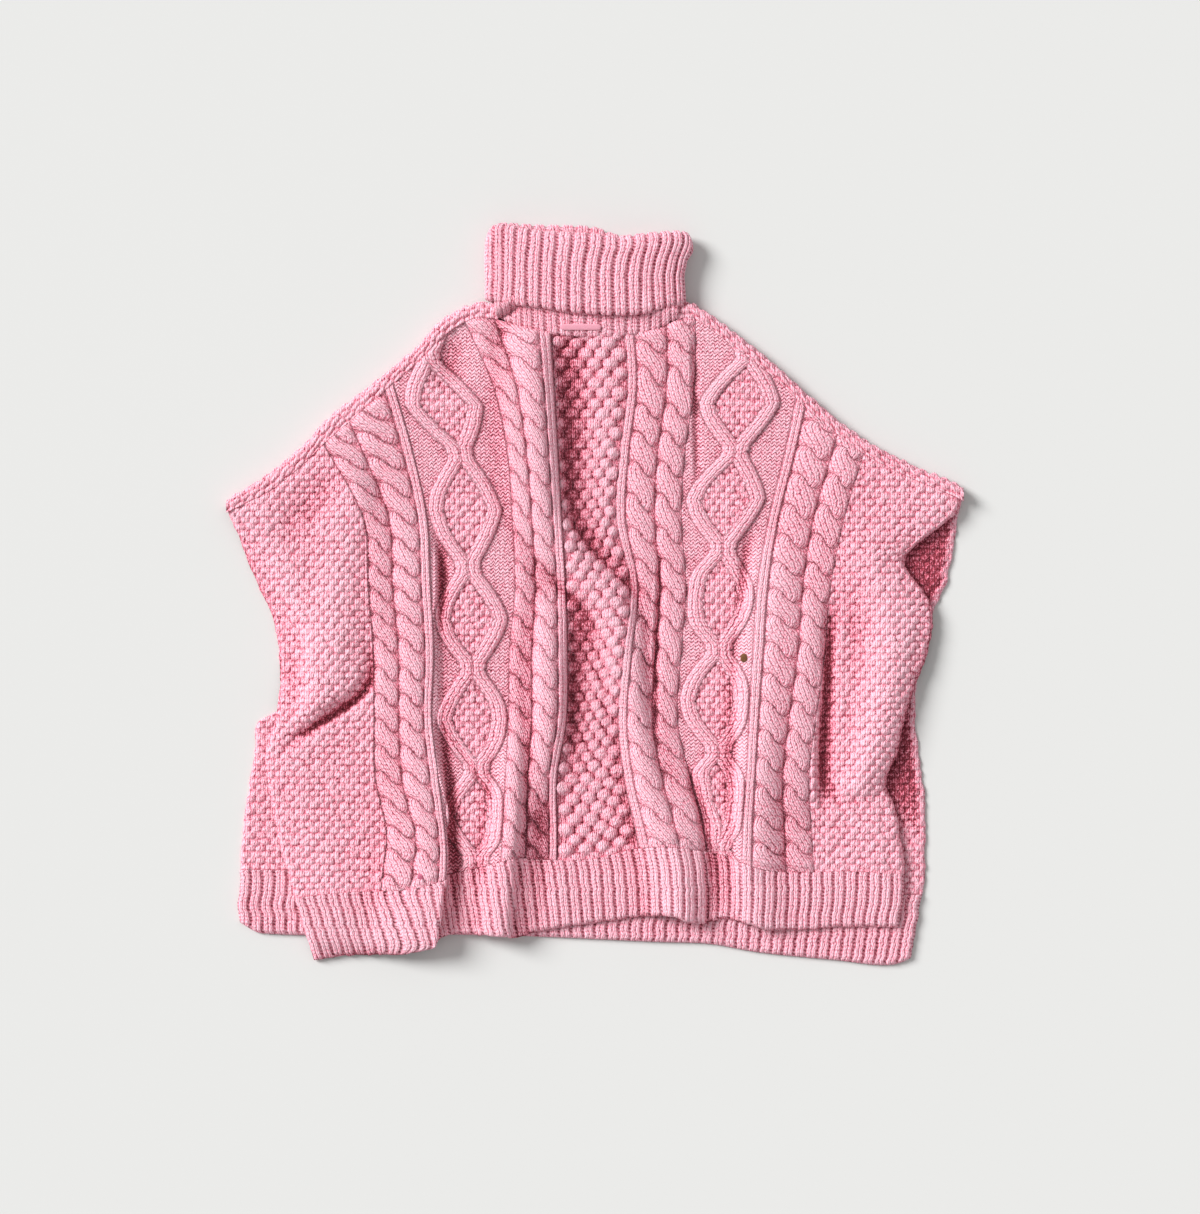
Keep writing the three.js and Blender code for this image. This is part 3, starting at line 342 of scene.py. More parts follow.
def wobble(x, y, size, seed):
    """Smooth noise from -1 to 1 whose bumps are about that size apart."""
    grid = np.random.default_rng(seed).uniform(-1, 1, (64, 64))
    gx, gy = np.asarray(x) / size, np.asarray(y) / size
    ix, iy = np.floor(gx).astype(int), np.floor(gy).astype(int)
    tx, ty = smooth(gx - ix), smooth(gy - iy)
    low = mix(grid[ix % 64, iy % 64], grid[(ix + 1) % 64, iy % 64], tx)
    high = mix(grid[ix % 64, (iy + 1) % 64], grid[(ix + 1) % 64, (iy + 1) % 64], tx)
    return mix(low, high, ty)


def knobs(along, seed):
    """The small unevenness of a knitted edge."""
    return 1.1 * wobble(along * 0, along, 5.5, seed)


def outline(rows, place, value, seed=None):
    """A line of the garment's outline, uneven like a knitted edge where a seed is given."""

    def line(at):
        plain = curve(rows[place], rows[value], at)
        return plain if seed is None else plain + knobs(at, seed)

    return line


left_edge = outline(FRONT_LEFT_EDGE, "y", "x", 31)
right_edge = outline(FRONT_RIGHT_EDGE, "y", "x", 32)
hem_top = outline(FRONT_HEM, "x", "top")
hem_end = outline(FRONT_HEM, "x", "end", 33)
seam_at = outline(SHOULDERS, "x", "seam")
outer_at = outline(SHOULDERS, "x", "outer", 34)
back_left = outline(BACK_SIDES, "y", "left", 35)
back_right = outline(BACK_SIDES, "y", "right", 35)
back_hem_top = outline(BACK_HEM, "x", "top")
back_hem_end = outline(BACK_HEM, "x", "end")
collar_end = outline(COLLAR_END, "x", "y")


def front_inset(x, y):
    """How far inside the front's side edges a place lies."""
    return np.minimum(x - left_edge(y), right_edge(y) - x)


def back_inset(x, y):
    """How far inside the back's side edges a place lies."""
    return np.minimum(x - back_left(y), back_right(y) - x)


def rounded(edge):
    """From 0 at an open edge of the cloth to 1 where its rounding ends."""
    return np.sqrt(np.clip(edge / EDGE_ROUND, 0, 1))


# Heights of the folded cloth


def fold_rise(rows, x, y):
    """How much one fold raises the cloth, or lowers it where the rise is below zero."""
    height = np.maximum(y, rows["y"][0])
    middle = curve(rows["y"], rows["x"], height)
    left, right = (curve(rows["y"], rows[side], height) for side in ("left", "right"))
    away = np.minimum(1, np.abs(x - middle) / np.where(x < middle, left, right))
    rise = curve(rows["y"], rows["rise"], height) * (1 - away * away) ** 2
    ended = (y >= rows["y"][-1]) | ((y <= rows["y"][0]) & (rows["rise"][0] == 0))
    return np.where(ended, 0, rise)


def underside_height(x, y):
    """The height of the plain side of the front: its rest and all of its folds."""
    from_hem = smooth((y - hem_end(x)) / HEM_SLOPE)
    from_right = smooth((right_edge(y) - x) / RIGHT_EDGE_SLOPE)
    from_left = smooth((x - left_edge(y)) / LEFT_EDGE_SLOPE)
    edge = mix(HEM_REST, RIGHT_EDGE_REST, from_hem)
    inner = mix(edge, FRONT_REST, np.minimum(from_hem, from_right))
    rest = mix(curve(LEFT_EDGE_REST["y"], LEFT_EDGE_REST["z"], y), inner, from_left)
    folded = sum(fold_rise(rows, x, y) for rows in FOLDS + CREASES)
    flap = smooth((FLAP["start"] - y) / (FLAP["start"] - FLAP["end"])) * smooth((FLAP["right"] - x) / 12)
    sunk = mix(0.25, 1, from_hem) * np.minimum(0, folded) * from_left
    return rest + sunk + np.maximum(0, folded) * from_left - FLAP["drop"] * flap


def blurred(grid, cells):
    """Each value's mean over that many cells on every side, taken twice."""
    size = 2 * cells + 1
    for axis in (0, 1, 0, 1):
        room = [(cells + 1, cells) if a == axis else (0, 0) for a in (0, 1)]
        total = np.cumsum(np.pad(grid, room, mode="edge"), axis)
        ends = np.arange(size, total.shape[axis])
        grid = (np.take(total, ends, axis) - np.take(total, ends - size, axis)) / size
    return grid


def painted_shading(relief, base):
    """Painted shade and light: from 0, dark, deep between stitches or in a fold, to 1, light, on raised
    knitting and on the crests of folds.
    """
    fine = relief - blurred(relief, FINE_REACH)
    broad = base - blurred(base, BROAD_REACH)
    fine = np.where(fine < 0, -np.abs(fine / FINE_SPAN) ** 1.3, 0.6 * fine / FINE_SPAN)
    crest = np.minimum(broad, CREST_LIMIT) / CREST_SPAN
    broad = np.where(broad < 0, -np.abs(broad / BROAD_SPAN) ** 1.4, crest)
    return np.clip(FLAT_SHADE + fine + broad, 0, 1)


def lean_at(x, y, z):
    """How far the left crest leans to the right at a place."""
    amount = LEAN["amount"] * smooth((LEAN["from"] - y) / (LEAN["from"] - LEAN["full"]))
    away = x - curve(CREST["y"], CREST["x"], y)
    near = smooth(1 - np.where(away < 0, -away / LEAN["left"], (away - LEAN["flat"]) / LEAN["right"]))
    return amount * near * smooth((z - LEAN["low"]) / (LEAN["high"] - LEAN["low"]))


def front_place(x, y, relief, thin=1.0):
    """The raised outer points of the front and the plain points under them."""
    low = underside_height(x, y)
    along_x = (underside_height(x + 1.5, y) - low) / 1.5
    along_y = (underside_height(x, y + 1.5) - low) / 1.5
    wall = WALL * np.minimum(STEEPEST_WALL, np.sqrt(1 + along_x**2 + along_y**2))
    high = low + wall * thin + relief
    return (
        np.stack([x + lean_at(x, y, high), y, high], -1),
        np.stack([x + lean_at(x, y, low), y, low], -1),
    )


# Relief of the knitting: each gives a height and the stitch coordinates (wale, row, knit or purl)


def stitches(wale, row, knit):
    return np.stack(np.broadcast_arrays(wale, row, knit), -1).astype(float)


def moss(x, y):
    """Seed stitch: small rounded bumps in a brick pattern, none quite like the next."""
    scatter = np.random.default_rng(22).uniform(-1, 1, (3, 64, 64))
    best = np.zeros(np.shape(x))
    for half in (0, 1):
        u, v = x / MOSS_PITCH[0] + half / 2, y / MOSS_PITCH[1] + half / 2
        i, j = np.floor(u).astype(int), np.floor(v).astype(int)
        aside, along, size = scatter[:, (2 * i + half) % 64, (2 * j + half) % 64]
        dx = (u - i - 0.5 - 0.1 * aside) * MOSS_PITCH[0] / MOSS_BUMP[0]
        dy = (v - j - 0.5 - 0.09 * along) * MOSS_PITCH[1] / MOSS_BUMP[1]
        best = np.maximum(best, np.sqrt(np.maximum(0, 1 + 0.2 * size - dx**2 - dy**2)))
    wale, row = 2 * x / MOSS_PITCH[0], 2 * y / MOSS_PITCH[1] + 0.75
    return MOSS_HEIGHT * best, stitches(wale, row + 0.12 * wobble(x, y, 8, 14), 0.7)


def purl(x, y):
    """Reverse stocking stitch: wavy rows of small dashes."""
    wy = y + 0.5 * np.sin(2 * np.pi * x / PURL_WALE) + 0.5 * wobble(x, y, 12, 6)
    rows = np.cos(2 * np.pi * wy / PURL_ROW)
    return PURL_HEIGHT * (0.5 + 0.5 * rows), stitches(x / PURL_WALE, wy / PURL_ROW, 0)


def cable(across, y, pitch):
    """Two strands twisted about each other, each of four wales, with a crease where one dives."""
    turns = y / pitch + 0.12 * wobble(across * 0, y, 40, 7)
    heights, offs = [], []
    for strand in (0, 1):
        angle = np.pi * (turns + strand)
        path = STRAND_SWING * np.arcsin(STRAND_TURN * np.cos(angle)) / np.arcsin(STRAND_TURN)
        off = (across - path) / (0.66 + 0.1 * np.sin(angle))
        heights.append(0.4 * np.sin(angle) + 0.6 * (1 - off * off))
        offs.append(off)
    first = heights[0] > heights[1]
    best, other = np.maximum(*heights), np.minimum(*heights)
    off = np.where(first, offs[0], offs[1])
    wale = 2 * (off + 1)
    grooves = 0.5 + 0.5 * np.cos(2 * np.pi * wale)
    crease = np.exp(-(((best - other) / 0.09) ** 2))
    cut = (WALE_GROOVE * grooves + STRAND_CREASE * crease) * smooth(best / 0.3)
    height = CABLE_HEIGHT * np.maximum(0, best) ** 0.7 - cut
    beside = smooth((1 - np.abs(across)) / 0.16)
    return np.maximum(height, 0) * beside, stitches(wale, y / ROW + 0.6 * off, 1)


def ridge(share, y):
    """Two raised wales side by side."""
    away = np.minimum(np.abs(share - 0.29), np.abs(share - 0.71)) / 0.27
    height = RIDGE_HEIGHT * np.sqrt(np.maximum(0, 1 - away**2))
    return height, stitches((share - 0.08) / 0.42, y / ROW, 1)


def ropes_parted(crossings, y):
    """From 0 where the two ropes cross to 1 where they are furthest apart."""
    place = curve(crossings, np.arange(len(crossings)), y)
    part = place - np.floor(place)
    return 0.68 * (1 - np.abs(2 * part - 1)) + 0.32 * np.sin(np.pi * part)


def diamond(x, y, left, right, column):
    """Two ropes that part and cross, with seed stitch between them and purl outside."""
    middle = curve(STATIONS, column["x"], y)
    parted = ropes_parted(column["crossings"], y)
    height, coords = purl(x, y)
    inner, inner_coords = moss(x, y)
    between = np.ones(np.shape(x), bool)
    slant = np.abs(ropes_parted(column["crossings"], y + 2) - parted) * column["reach"][0] / 2
    half = ROPE_HALF * np.minimum(1.45, np.sqrt(1 + slant**2))
    ropes = []
    for side, reach, border in ((-1, column["reach"][0], left), (1, column["reach"][1], right)):
        room = np.maximum(np.abs(border - middle) - half - ROPE_CLEAR, ROPE_HALF * 0.55)
        centre = np.maximum(reach * parted, ROPE_HALF * 0.55)
        centre = centre / (1 + (centre / room) ** 7) ** (1 / 7)
        ropes.append(middle + side * centre)
        between &= side * (x - ropes[-1]) < 0
    height = np.where(between, inner, height)
    coords = np.where(between[..., None], inner_coords, coords)
    for rope in ropes:
        off = (x - rope) / half
        raised = ROPE_HEIGHT * np.maximum(0, 1 - off**2) ** 0.42
        wale = 1.5 * (off + 1)
        raised = raised - WALE_GROOVE * (0.5 + 0.5 * np.cos(2 * np.pi * wale)) * (raised > 0.8)
        higher = raised > height
        height = np.where(higher, raised, height)
        coords = np.where(higher[..., None], stitches(wale, y / ROW, 1), coords)
    return height, coords


def bobbles(share, run, x, y):
    """Rounded bobbles in a chequered pattern, none quite like the next, with holes between them."""
    scatter = np.random.default_rng(21).uniform(-1, 1, (3, 64, 64))
    column, row = share * BOBBLE_COLUMNS, run * BOBBLE_ROWS
    x_aside, x_along = np.gradient(x, column[:, 0], axis=0), np.gradient(x, row[0], axis=1)
    y_aside, y_along = np.gradient(y, column[:, 0], axis=0), np.gradient(y, row[0], axis=1)
    best = np.zeros(np.shape(share))
    for step in (-2, -1, 0, 1, 2):
        c = np.round(column) + step
        odd = np.mod(c, 2)
        r = 2 * np.round((row - odd) / 2) + odd
        aside, along, size = scatter[:, c.astype(int) % 64, r.astype(int) % 64]
        aside, along = column - c - 0.1 * aside, row - r - 0.1 * along
        across = (x_aside * aside + x_along * along) / np.minimum(BOBBLE_HALF[0], 1.02 * x_aside)
        up = (y_aside * aside + y_along * along) / BOBBLE_HALF[1]
        off = np.hypot(across, up) / (1 + 0.09 * size)
        inside = (c > 0.5) & (c < BOBBLE_COLUMNS - 0.5)
        best = np.maximum(best, np.where(inside, np.maximum(0, 1 - off**2) ** 0.55, 0))
    knots = wobble(column * 3, row * 3, 1, 9)
    height = BOBBLE_HEIGHT * best * (1 + 0.16 * knots) - 1.5
    return height, stitches(column * 2, row * 2, 0.9)


def ribs(count, share, y, height=RIB_HEIGHT):
    """Ribs of two wales each, with a narrow purl groove between them."""
    phase = np.mod(share * count + 0.06 * wobble(share * count, y / 40, 1, 8), 1)
    raised = smooth(phase / 0.15) * smooth((0.87 - phase) / 0.15)
    middle = np.exp(-(((phase - 0.42) / 0.055) ** 2))
    wale = (phase - 0.02) / 0.4
    groove = raised < 0.25
    coords = stitches(wale, y / RIB_ROW, 1)
    coords = np.where(groove[..., None], stitches(phase * 2, y / RIB_ROW, 0), coords)
    return height * raised - 1.0 * middle * raised, coords


# Meshes


def linked(name, data):
    """A new object of the scene."""
    made = bpy.data.objects.new(name, data)
    bpy.context.scene.collection.objects.link(made)
    return made


def unit(vectors):
    return vectors / np.maximum(np.linalg.norm(vectors, axis=-1, keepdims=True), 1e-9)


def matched(share, y):
    """The shares, shaped to go with heights of one or two axes."""
    return share.reshape((-1,) + (1,) * (np.ndim(y) - 1))


def make_object(name, points, faces, coords, depth):
    """A smooth mesh of points in millimetres that keeps its stitch coordinates and its painted shade and
    light, as depth.
    """
    points = np.asarray(points, float).copy()
    points[:, 1] -= CENTRE_Y
    mesh = bpy.data.meshes.new(name)
    mesh.vertices.add(len(points))
    mesh.vertices.foreach_set("co", (points * MM).astype(np.float32).ravel())
    starts, corners, at = [], [], 0
    for block in faces:
        block = np.asarray(block)
        starts.append(at + np.arange(len(block)) * block.shape[1])
        corners.append(block.ravel())
        at += block.size
    corners, starts = np.concatenate(corners), np.concatenate(starts)
    mesh.loops.add(len(corners))
    mesh.loops.foreach_set("vertex_index", corners.astype(np.int32))
    mesh.polygons.add(len(starts))
    mesh.polygons.foreach_set("loop_start", starts.astype(np.int32))
    mesh.update(calc_edges=True)
    smooth_faces = np.arange(len(starts)) < len(faces[0])
    mesh.polygons.foreach_set("use_smooth", smooth_faces)
    mesh.validate()
    kept = mesh.attributes.new("stitch", "FLOAT_VECTOR", "POINT")
    kept.data.foreach_set("vector", np.asarray(coords, np.float32).ravel())
    # depth holds the painted shade and light that the knit's colour is drawn from
    kept = mesh.attributes.new("depth", "FLOAT", "POINT")
    kept.data.foreach_set("value", np.broadcast_to(depth, len(points)).astype(np.float32))
    return linked(name, mesh)


def grid_quads(ids):
    """Quads over a grid of point numbers, seen from above when columns go right and rows go up."""
    a, b = ids[:-1, :-1], ids[1:, :-1]
    c, d = ids[1:, 1:], ids[:-1, 1:]
    return np.stack([a, b, c, d], -1).reshape(-1, 4)


def strided(count, stride=UNDER_STRIDE):
    """Every stride-th number up to the last one."""
    steps = max(1, round((count - 1) / stride))
    return np.unique(np.round(np.linspace(0, count - 1, steps + 1)).astype(int))


def wall_object(name, high, low, coords, depth):
    """A closed wall of cloth: fine raised points above, and fewer plain points under them."""
    columns, rows = high.shape[:2]
    top = np.arange(columns * rows).reshape(columns, rows)
    pick_c, pick_r = strided(columns), strided(rows)
    under_points = low[np.ix_(pick_c, pick_r)]
    under = columns * rows + np.arange(len(pick_c) * len(pick_r)).reshape(len(pick_c), len(pick_r))
    triangles = []

    def side(top_ids, picks, under_ids):
        for k in range(len(picks) - 1):
            first, last = picks[k], picks[k + 1]
            half = (first + last + 1) // 2
            for i in range(first, last):
                foot = under_ids[k] if i < half else under_ids[k + 1]
                triangles.append((top_ids[i], foot, top_ids[i + 1]))
            triangles.append((top_ids[half], under_ids[k], under_ids[k + 1]))

    side(top[:, 0], pick_c, under[:, 0])
    side(top[-1, :], pick_r, under[-1, :])
    side(top[::-1, -1], (columns - 1 - pick_c)[::-1], under[::-1, -1])
    side(top[0, ::-1], (rows - 1 - pick_r)[::-1], under[0, ::-1])
    points = np.concatenate([high.reshape(-1, 3), under_points.reshape(-1, 3)])
    under_coords = coords[np.ix_(pick_c, pick_r)].reshape(-1, 3)
    faces = [grid_quads(top), grid_quads(under)[:, ::-1], np.array(triangles)]
    coords = np.concatenate([coords.reshape(-1, 3), under_coords])
    # The hidden underside is given a darker painted shade
    depth = np.concatenate([depth.ravel(), np.full(len(under_coords), UNDER_SHADE)])
    return make_object(name, points, faces, coords, depth)


# The front panel


def middle_of(k, y):
    return curve(STATIONS, COLUMNS[k]["x"], y)


def band_line(index, y):
    """The line between column number index - 1 and column number index, or a side edge."""
    if index < 0:
        return left_edge(y)
    if index > len(COLUMNS):
        return right_edge(y)
    before = COLUMNS[index - 1]["half"] if index > 0 else 0
    after = COLUMNS[index]["half"] if index < len(COLUMNS) else 0
    if after and not before:
        return middle_of(index, y) - after
    if before and not after:
        return middle_of(index - 1, y) + before
    return mix(middle_of(index - 1, y), middle_of(index, y), before / (before + after))


def meeting(where, border, count, start=0.0):
    """The height at which each line of x meets a border."""
    y = border(where(np.full(count, start)))
    for _ in range(24):
        y = mix(y, border(where(y)), 0.6)
    return y


def front_band(band, rows, last):
    """One knitted column's points, from its left border line up to its right one."""
    heights = np.array([-200.0, 0, 120])
    width = float(np.mean(band_line(band, heights) - band_line(band - 1, heights)))
    cells = max(6, round(width / ACROSS_STEP))
    share = np.linspace(0, 1, cells + 1)
    if not last:
        share = share[:-1]

    def where(y):
        return mix(band_line(band - 1, y), band_line(band, y), matched(share, y))

    bottom = meeting(where, hem_top, len(share))
    top = meeting(where, seam_at, len(share))
    run = np.linspace(0, 1, rows)
    y = bottom[:, None] + (top - bottom)[:, None] * run
    x = where(y)
    across = np.broadcast_to(share[:, None], x.shape)
    column = COLUMNS[band - 1] if 0 < band <= len(COLUMNS) else {"kind": "moss"}
    if column["kind"] == "cable":
        relief, coords = cable(2 * across - 1, y, column["pitch"])
    elif column["kind"] == "ridge":
        relief, coords = ridge(across, y)
    elif column["kind"] == "diamond":
        relief, coords = diamond(x, y, band_line(band - 1, y), band_line(band, y), column)
    elif column["kind"] == "bobbles":
        relief, coords = bobbles(across, np.broadcast_to(run, x.shape), x, y)
    else:
        relief, coords = moss(x, y)
    return x, y, relief, coords


def front_grid():
    """All of the front: where each column starts, its outer and inner points, stitches and painted shade
    (depth).
    """
    rows = round(FRONT_LENGTH / ALONG_STEP) + 1
    last = len(COLUMNS) + 1
    parts = [front_band(band, rows, band == last) for band in range(last + 1)]
    starts = np.cumsum([0] + [len(part[0]) for part in parts])
    x, y, relief, coords = (np.concatenate([part[k] for part in parts]) for k in range(4))
    edge = front_inset(x, y)
    border = np.minimum((y - hem_top(x)) / 9, (seam_at(x) - y) / 6)
    relief = relief * smooth(edge / EDGE_ROUND) * (0.42 + 0.58 * smooth(border))
    high, low = front_place(x, y, relief, 0.45 + 0.55 * rounded(edge))
    # depth: painted shade between stitches and in the folds' hollows, painted light on their crests
    depth = painted_shading(relief, high[..., 2] - relief)
    return starts, high, low, coords, depth


FRONT = front_grid()


def front_piece(name, first, last):
    """The front's knitted columns from the first to the last of these numbers."""
    starts, *grids = FRONT
    high, low, coords, depth = (grid[starts[first]:starts[last + 1] + 1] for grid in grids)
    return wall_object(name, high, low, coords, depth)


def front_height(x, y):
    """The height of the front's surface, in table millimetres, at a place."""
    high = FRONT[1].reshape(-1, 3)
    near = np.argmin((high[:, 0] - x) ** 2 + (high[:, 1] - y) ** 2)
    return high[near, 2]


def rib_grid(ribs_count, points_per_rib, where, lower, upper, rows):
    """Evenly spread lines of a ribbed hem: x, y and share from left to right."""
    share = np.linspace(0, 1, ribs_count * points_per_rib + 1)

    def line(y):
        return where(y, matched(share, y))

    bottom = meeting(line, lower, len(share), -300.0)
    top = meeting(line, upper, len(share), -300.0)
    y = bottom[:, None] + (top - bottom)[:, None] * np.linspace(0, 1, rows)
    return line(y), y, np.broadcast_to(share[:, None], y.shape)


def front_hem_piece():
    x, y, share = rib_grid(
        FRONT_RIBS, FRONT_RIB_POINTS, lambda y, s: mix(left_edge(y), right_edge(y), s), hem_end,
        lambda x: hem_top(x) - SEAM_GAP, FRONT_HEM_ROWS)
    relief, coords = ribs(FRONT_RIBS, share, y)
    end = y - hem_end(x)
    edge = front_inset(x, y)
    round_off = rounded(np.minimum(edge, end))
    relief = relief * smooth(end / 5 + 0.3) * smooth(edge / 3)
    high, low = front_place(x, y, relief, 0.4 + 0.6 * round_off)
    depth = painted_shading(relief, high[..., 2] - relief)
    return wall_object("front_hem_rib", high, low, coords, depth)


# The back panel


def back_line(y, share):
    return mix(back_left(y), back_right(y), share)


def roll_reach(x):
    return np.minimum(ROLL_REACH, (outer_at(x) - seam_at(x)) * 0.45)


def back_border(x):
    at_neck = (x > NECK_LEFT) & (x < NECK_RIGHT)
    return np.where(at_neck, NECK_BACK_TOP, outer_at(x) - roll_reach(x))


def back_shares():
    """Shares of the back's width: fine where it shows at the sides, coarse where the front hides it."""
    left = np.linspace(0, 0.13, 68, endpoint=False)
    hidden = np.linspace(0.13, 0.83, 70, endpoint=False)
    return np.concatenate([left, hidden, np.linspace(0.83, 1, 88)])


def painted_overhang_shade(x, y, relief, edge):
    """The back's inner side is darkened with painted shade where the front's right side overhangs it, as
    its shadow would fall there.
    """
    overhang_shade = smooth((x - right_edge(y)) / 6 + 1) * smooth(edge / 9 - 0.3)
    overhang_shade = overhang_shade * smooth((150 - y) / 40) * smooth((y + 265) / 70)
    return np.clip(painted_shading(relief, relief * 0) - 0.75 * overhang_shade, 0, 1)


def back_piece():
    share = back_shares()

    def line(y):
        return back_line(y, matched(share, y))

    bottom = meeting(line, lambda x: back_hem_top(x) + SEAM_GAP, len(share))
    top = meeting(line, back_border, len(share))
    y = bottom[:, None] + (top - bottom)[:, None] * np.linspace(0, 1, BACK_ROWS)
    x = line(y)
    relief, coords = moss(x, y)
    edge = back_inset(x, y)
    thin = 0.45 + 0.55 * rounded(edge)
    relief = (relief - MOSS_HEIGHT * 0.7) * smooth(edge / 6)
    high = np.stack([x, y, WALL * thin + relief], -1)
    low = np.stack([x, y, np.zeros_like(x)], -1)
    return wall_object("back_cloth", high, low, coords, painted_overhang_shade(x, y, relief, edge))


def back_hem_piece():
    x, y, share = rib_grid(
        BACK_RIBS, BACK_RIB_POINTS, back_line, back_hem_end, back_hem_top, BACK_HEM_ROWS)
    relief, coords = ribs(BACK_RIBS, share, y)
    end = y - back_hem_end(x)
    edge = back_inset(x, y)
    round_off = rounded(np.minimum(edge, end))
    relief = relief * smooth(end / 5 + 0.3) * smooth(edge / 3)
    high = np.stack([x, y, WALL * (0.4 + 0.6 * round_off) + relief], -1)
    low = np.stack([x, y, np.zeros_like(x)], -1)
    return wall_object("back_hem_rib", high, low, coords, painted_overhang_shade(x, y, relief, edge))


def roll_section(x):
    """The section of the rolled cloth at each x: lists of outer points, inner points and lengths."""
    reach = roll_reach(x)
    middle, radius = outer_at(x) - reach, SHOULDER_ROLL / 2
    inner = np.maximum(reach - WALL, 1)
    seam = seam_at(x) + SEAM_GAP
    flat = np.ones(len(x))
    outside, inside, walk = [], [], []
    for angle in np.linspace(-np.pi / 2, np.pi / 2, 19):
        up, out = np.sin(angle), np.cos(angle)
        outside.append(np.stack([x, middle + reach * out, flat * radius * (1 + up)], -1))
        inside.append(np.stack([x, middle + inner * out, flat * (radius + (radius - WALL) * up)], -1))
        walk.append(flat * (angle + np.pi / 2) * radius)
    for part in np.linspace(0, 1, 14)[1:]:
        line = mix(middle, seam, part)
        outside.append(np.stack([x, line, flat * SHOULDER_ROLL], -1))
        inside.append(np.stack([x, line, flat * (SHOULDER_ROLL - WALL)], -1))
        walk.append(np.pi * radius + (middle - seam) * part)
    return np.stack(outside, 1), np.stack(inside, 1), np.stack(walk, 1)


def roll_piece(name, start, stop):
    """The back panel where it rolls over a shoulder onto the front, as a wall round its section."""
    x = np.linspace(start, stop, round(abs(stop - start) / 1.5) + 1)
    high, low, along = roll_section(x)
    relief, coords = moss(np.broadcast_to(x[:, None], along.shape), along)
    normal = unit(high - low)
    relief = relief * smooth(along / 8)
    high = high + normal * (relief - MOSS_HEIGHT * 0.4)[..., None]
    high[..., 2] = np.maximum(high[..., 2], 0)
    depth = painted_shading(relief, relief * 0)
    return wall_object(name, high[:, ::-1], low[:, ::-1], coords[:, ::-1], depth[:, ::-1])


# The turtleneck


COLLAR_EDGES = {
    "level": lambda x: 0 * x,
    "end": collar_end,
    "seam": lambda x: seam_at(x) + SEAM_GAP,
    "top": outline(COLLAR_TOP, "x", "front"),
    "rim": outline(COLLAR_TOP, "x", "rim"),
}

# Rings of the tube, from the turned-down edge up the outside, over the fold, down the inside to
# the seam and up between the layers. front and back name an edge and how far beyond it the ring
# lies, and ribbed is the share of the rib's height. steps is the number of mesh rows to the next.
RING_VALUES = "middle half low high front back ribbed steps".split()
COLLAR_RINGS = [dict(zip(RING_VALUES, ring)) for ring in (
    (-10.5, 104.5, 0, 25, ("end", 0), ("level", 308), 0.7, 3),
    (-10.5, 104.5, 0, 28, ("end", 4), ("level", 311), 1, 20),
    (-10.7, 103, 0, 28.5, ("level", 335), ("level", 335), 1, 12),
    (-9.2, 105, 0, 28.5, ("level", 352), ("level", 352), 1, 10),
    (-6, 108, 0.2, 28, ("top", -12), ("rim", -12), 1, 6),
    (-6, 108, 2, 26, ("top", -4), ("rim", -4), 1, 4),
    (-6, 105, 6, 22, ("top", 0), ("rim", 0), 0.8, 4),
    (-6, 102, 9.5, 18.3, ("top", -4), ("rim", -4), 0.2, 12),
    (-8, 98, 9.7, 15, ("level", 330), ("level", 335), 0, 14),
    (-9, 92, 9.7, 12, ("seam", -2), ("level", 300), 0, 4),
    (-8, 96, 5, 17.2, ("seam", -2), ("level", 299), 0.7, 14),
    (-9, 97, 5, 22.8, ("end", 9), ("level", 308), 0.5, 12),
    (-9, 99, 5, 22.8, ("level", 364), ("level", 364), 0, 2),
    (-9, 99.4, 4.6, 23.3, ("level", 364), ("level", 364), 0, 14),
    (-10, 98, 4.6, 23.3, ("end", 0), ("level", 308), 0, 3),
)]
COLLAR_SCALLOP = 2.2  # how far the end of each rib hangs below the grooves


def collar_ring(ring, around):
    """A ring's points, over the front while around goes from 0 to 1 and back underneath to 2."""
    front = around <= 1
    share = np.where(front, -1 + 2 * around, 3 - 2 * around)
    across = 0.6 * share + 0.2 * (3 * share - share**3)
    x = ring["middle"] + ring["half"] * across
    bulge = np.sqrt(np.maximum(0, 1 - np.abs(across) ** 3.4))
    middle, depth = (ring["high"] + ring["low"]) / 2, (ring["high"] - ring["low"]) / 2
    z = np.where(front, middle + depth * bulge, middle - depth * bulge)
    front_y, back_y = (COLLAR_EDGES[edge](x) + beyond for edge, beyond in (ring["front"], ring["back"]))
    y = mix(back_y, front_y, np.where(front, 0.5 + 0.5 * bulge, 0.5 - 0.5 * bulge))
    return np.stack([x, y, z], -1)


def neck_folds(x, y):
    """The neck band's own folds: a turned flap at its left end and a bulge at its right end."""
    beyond = (x + 79) * 0.55 - (y - 305) * 0.84
    flap = 7 * np.exp(-(((beyond + 9) / 8) ** 2)) * smooth((-70 - x) / 14)
    furrow = -5 * np.exp(-(((beyond - 1) / 3.5) ** 2)) * smooth((-74 - x) / 10)
    bulge = 6 * np.exp(-(((x - 84) / 16) ** 2) - ((y - 297) / 10) ** 2)
    return (flap + furrow + bulge) * smooth((y - 278) / 8)


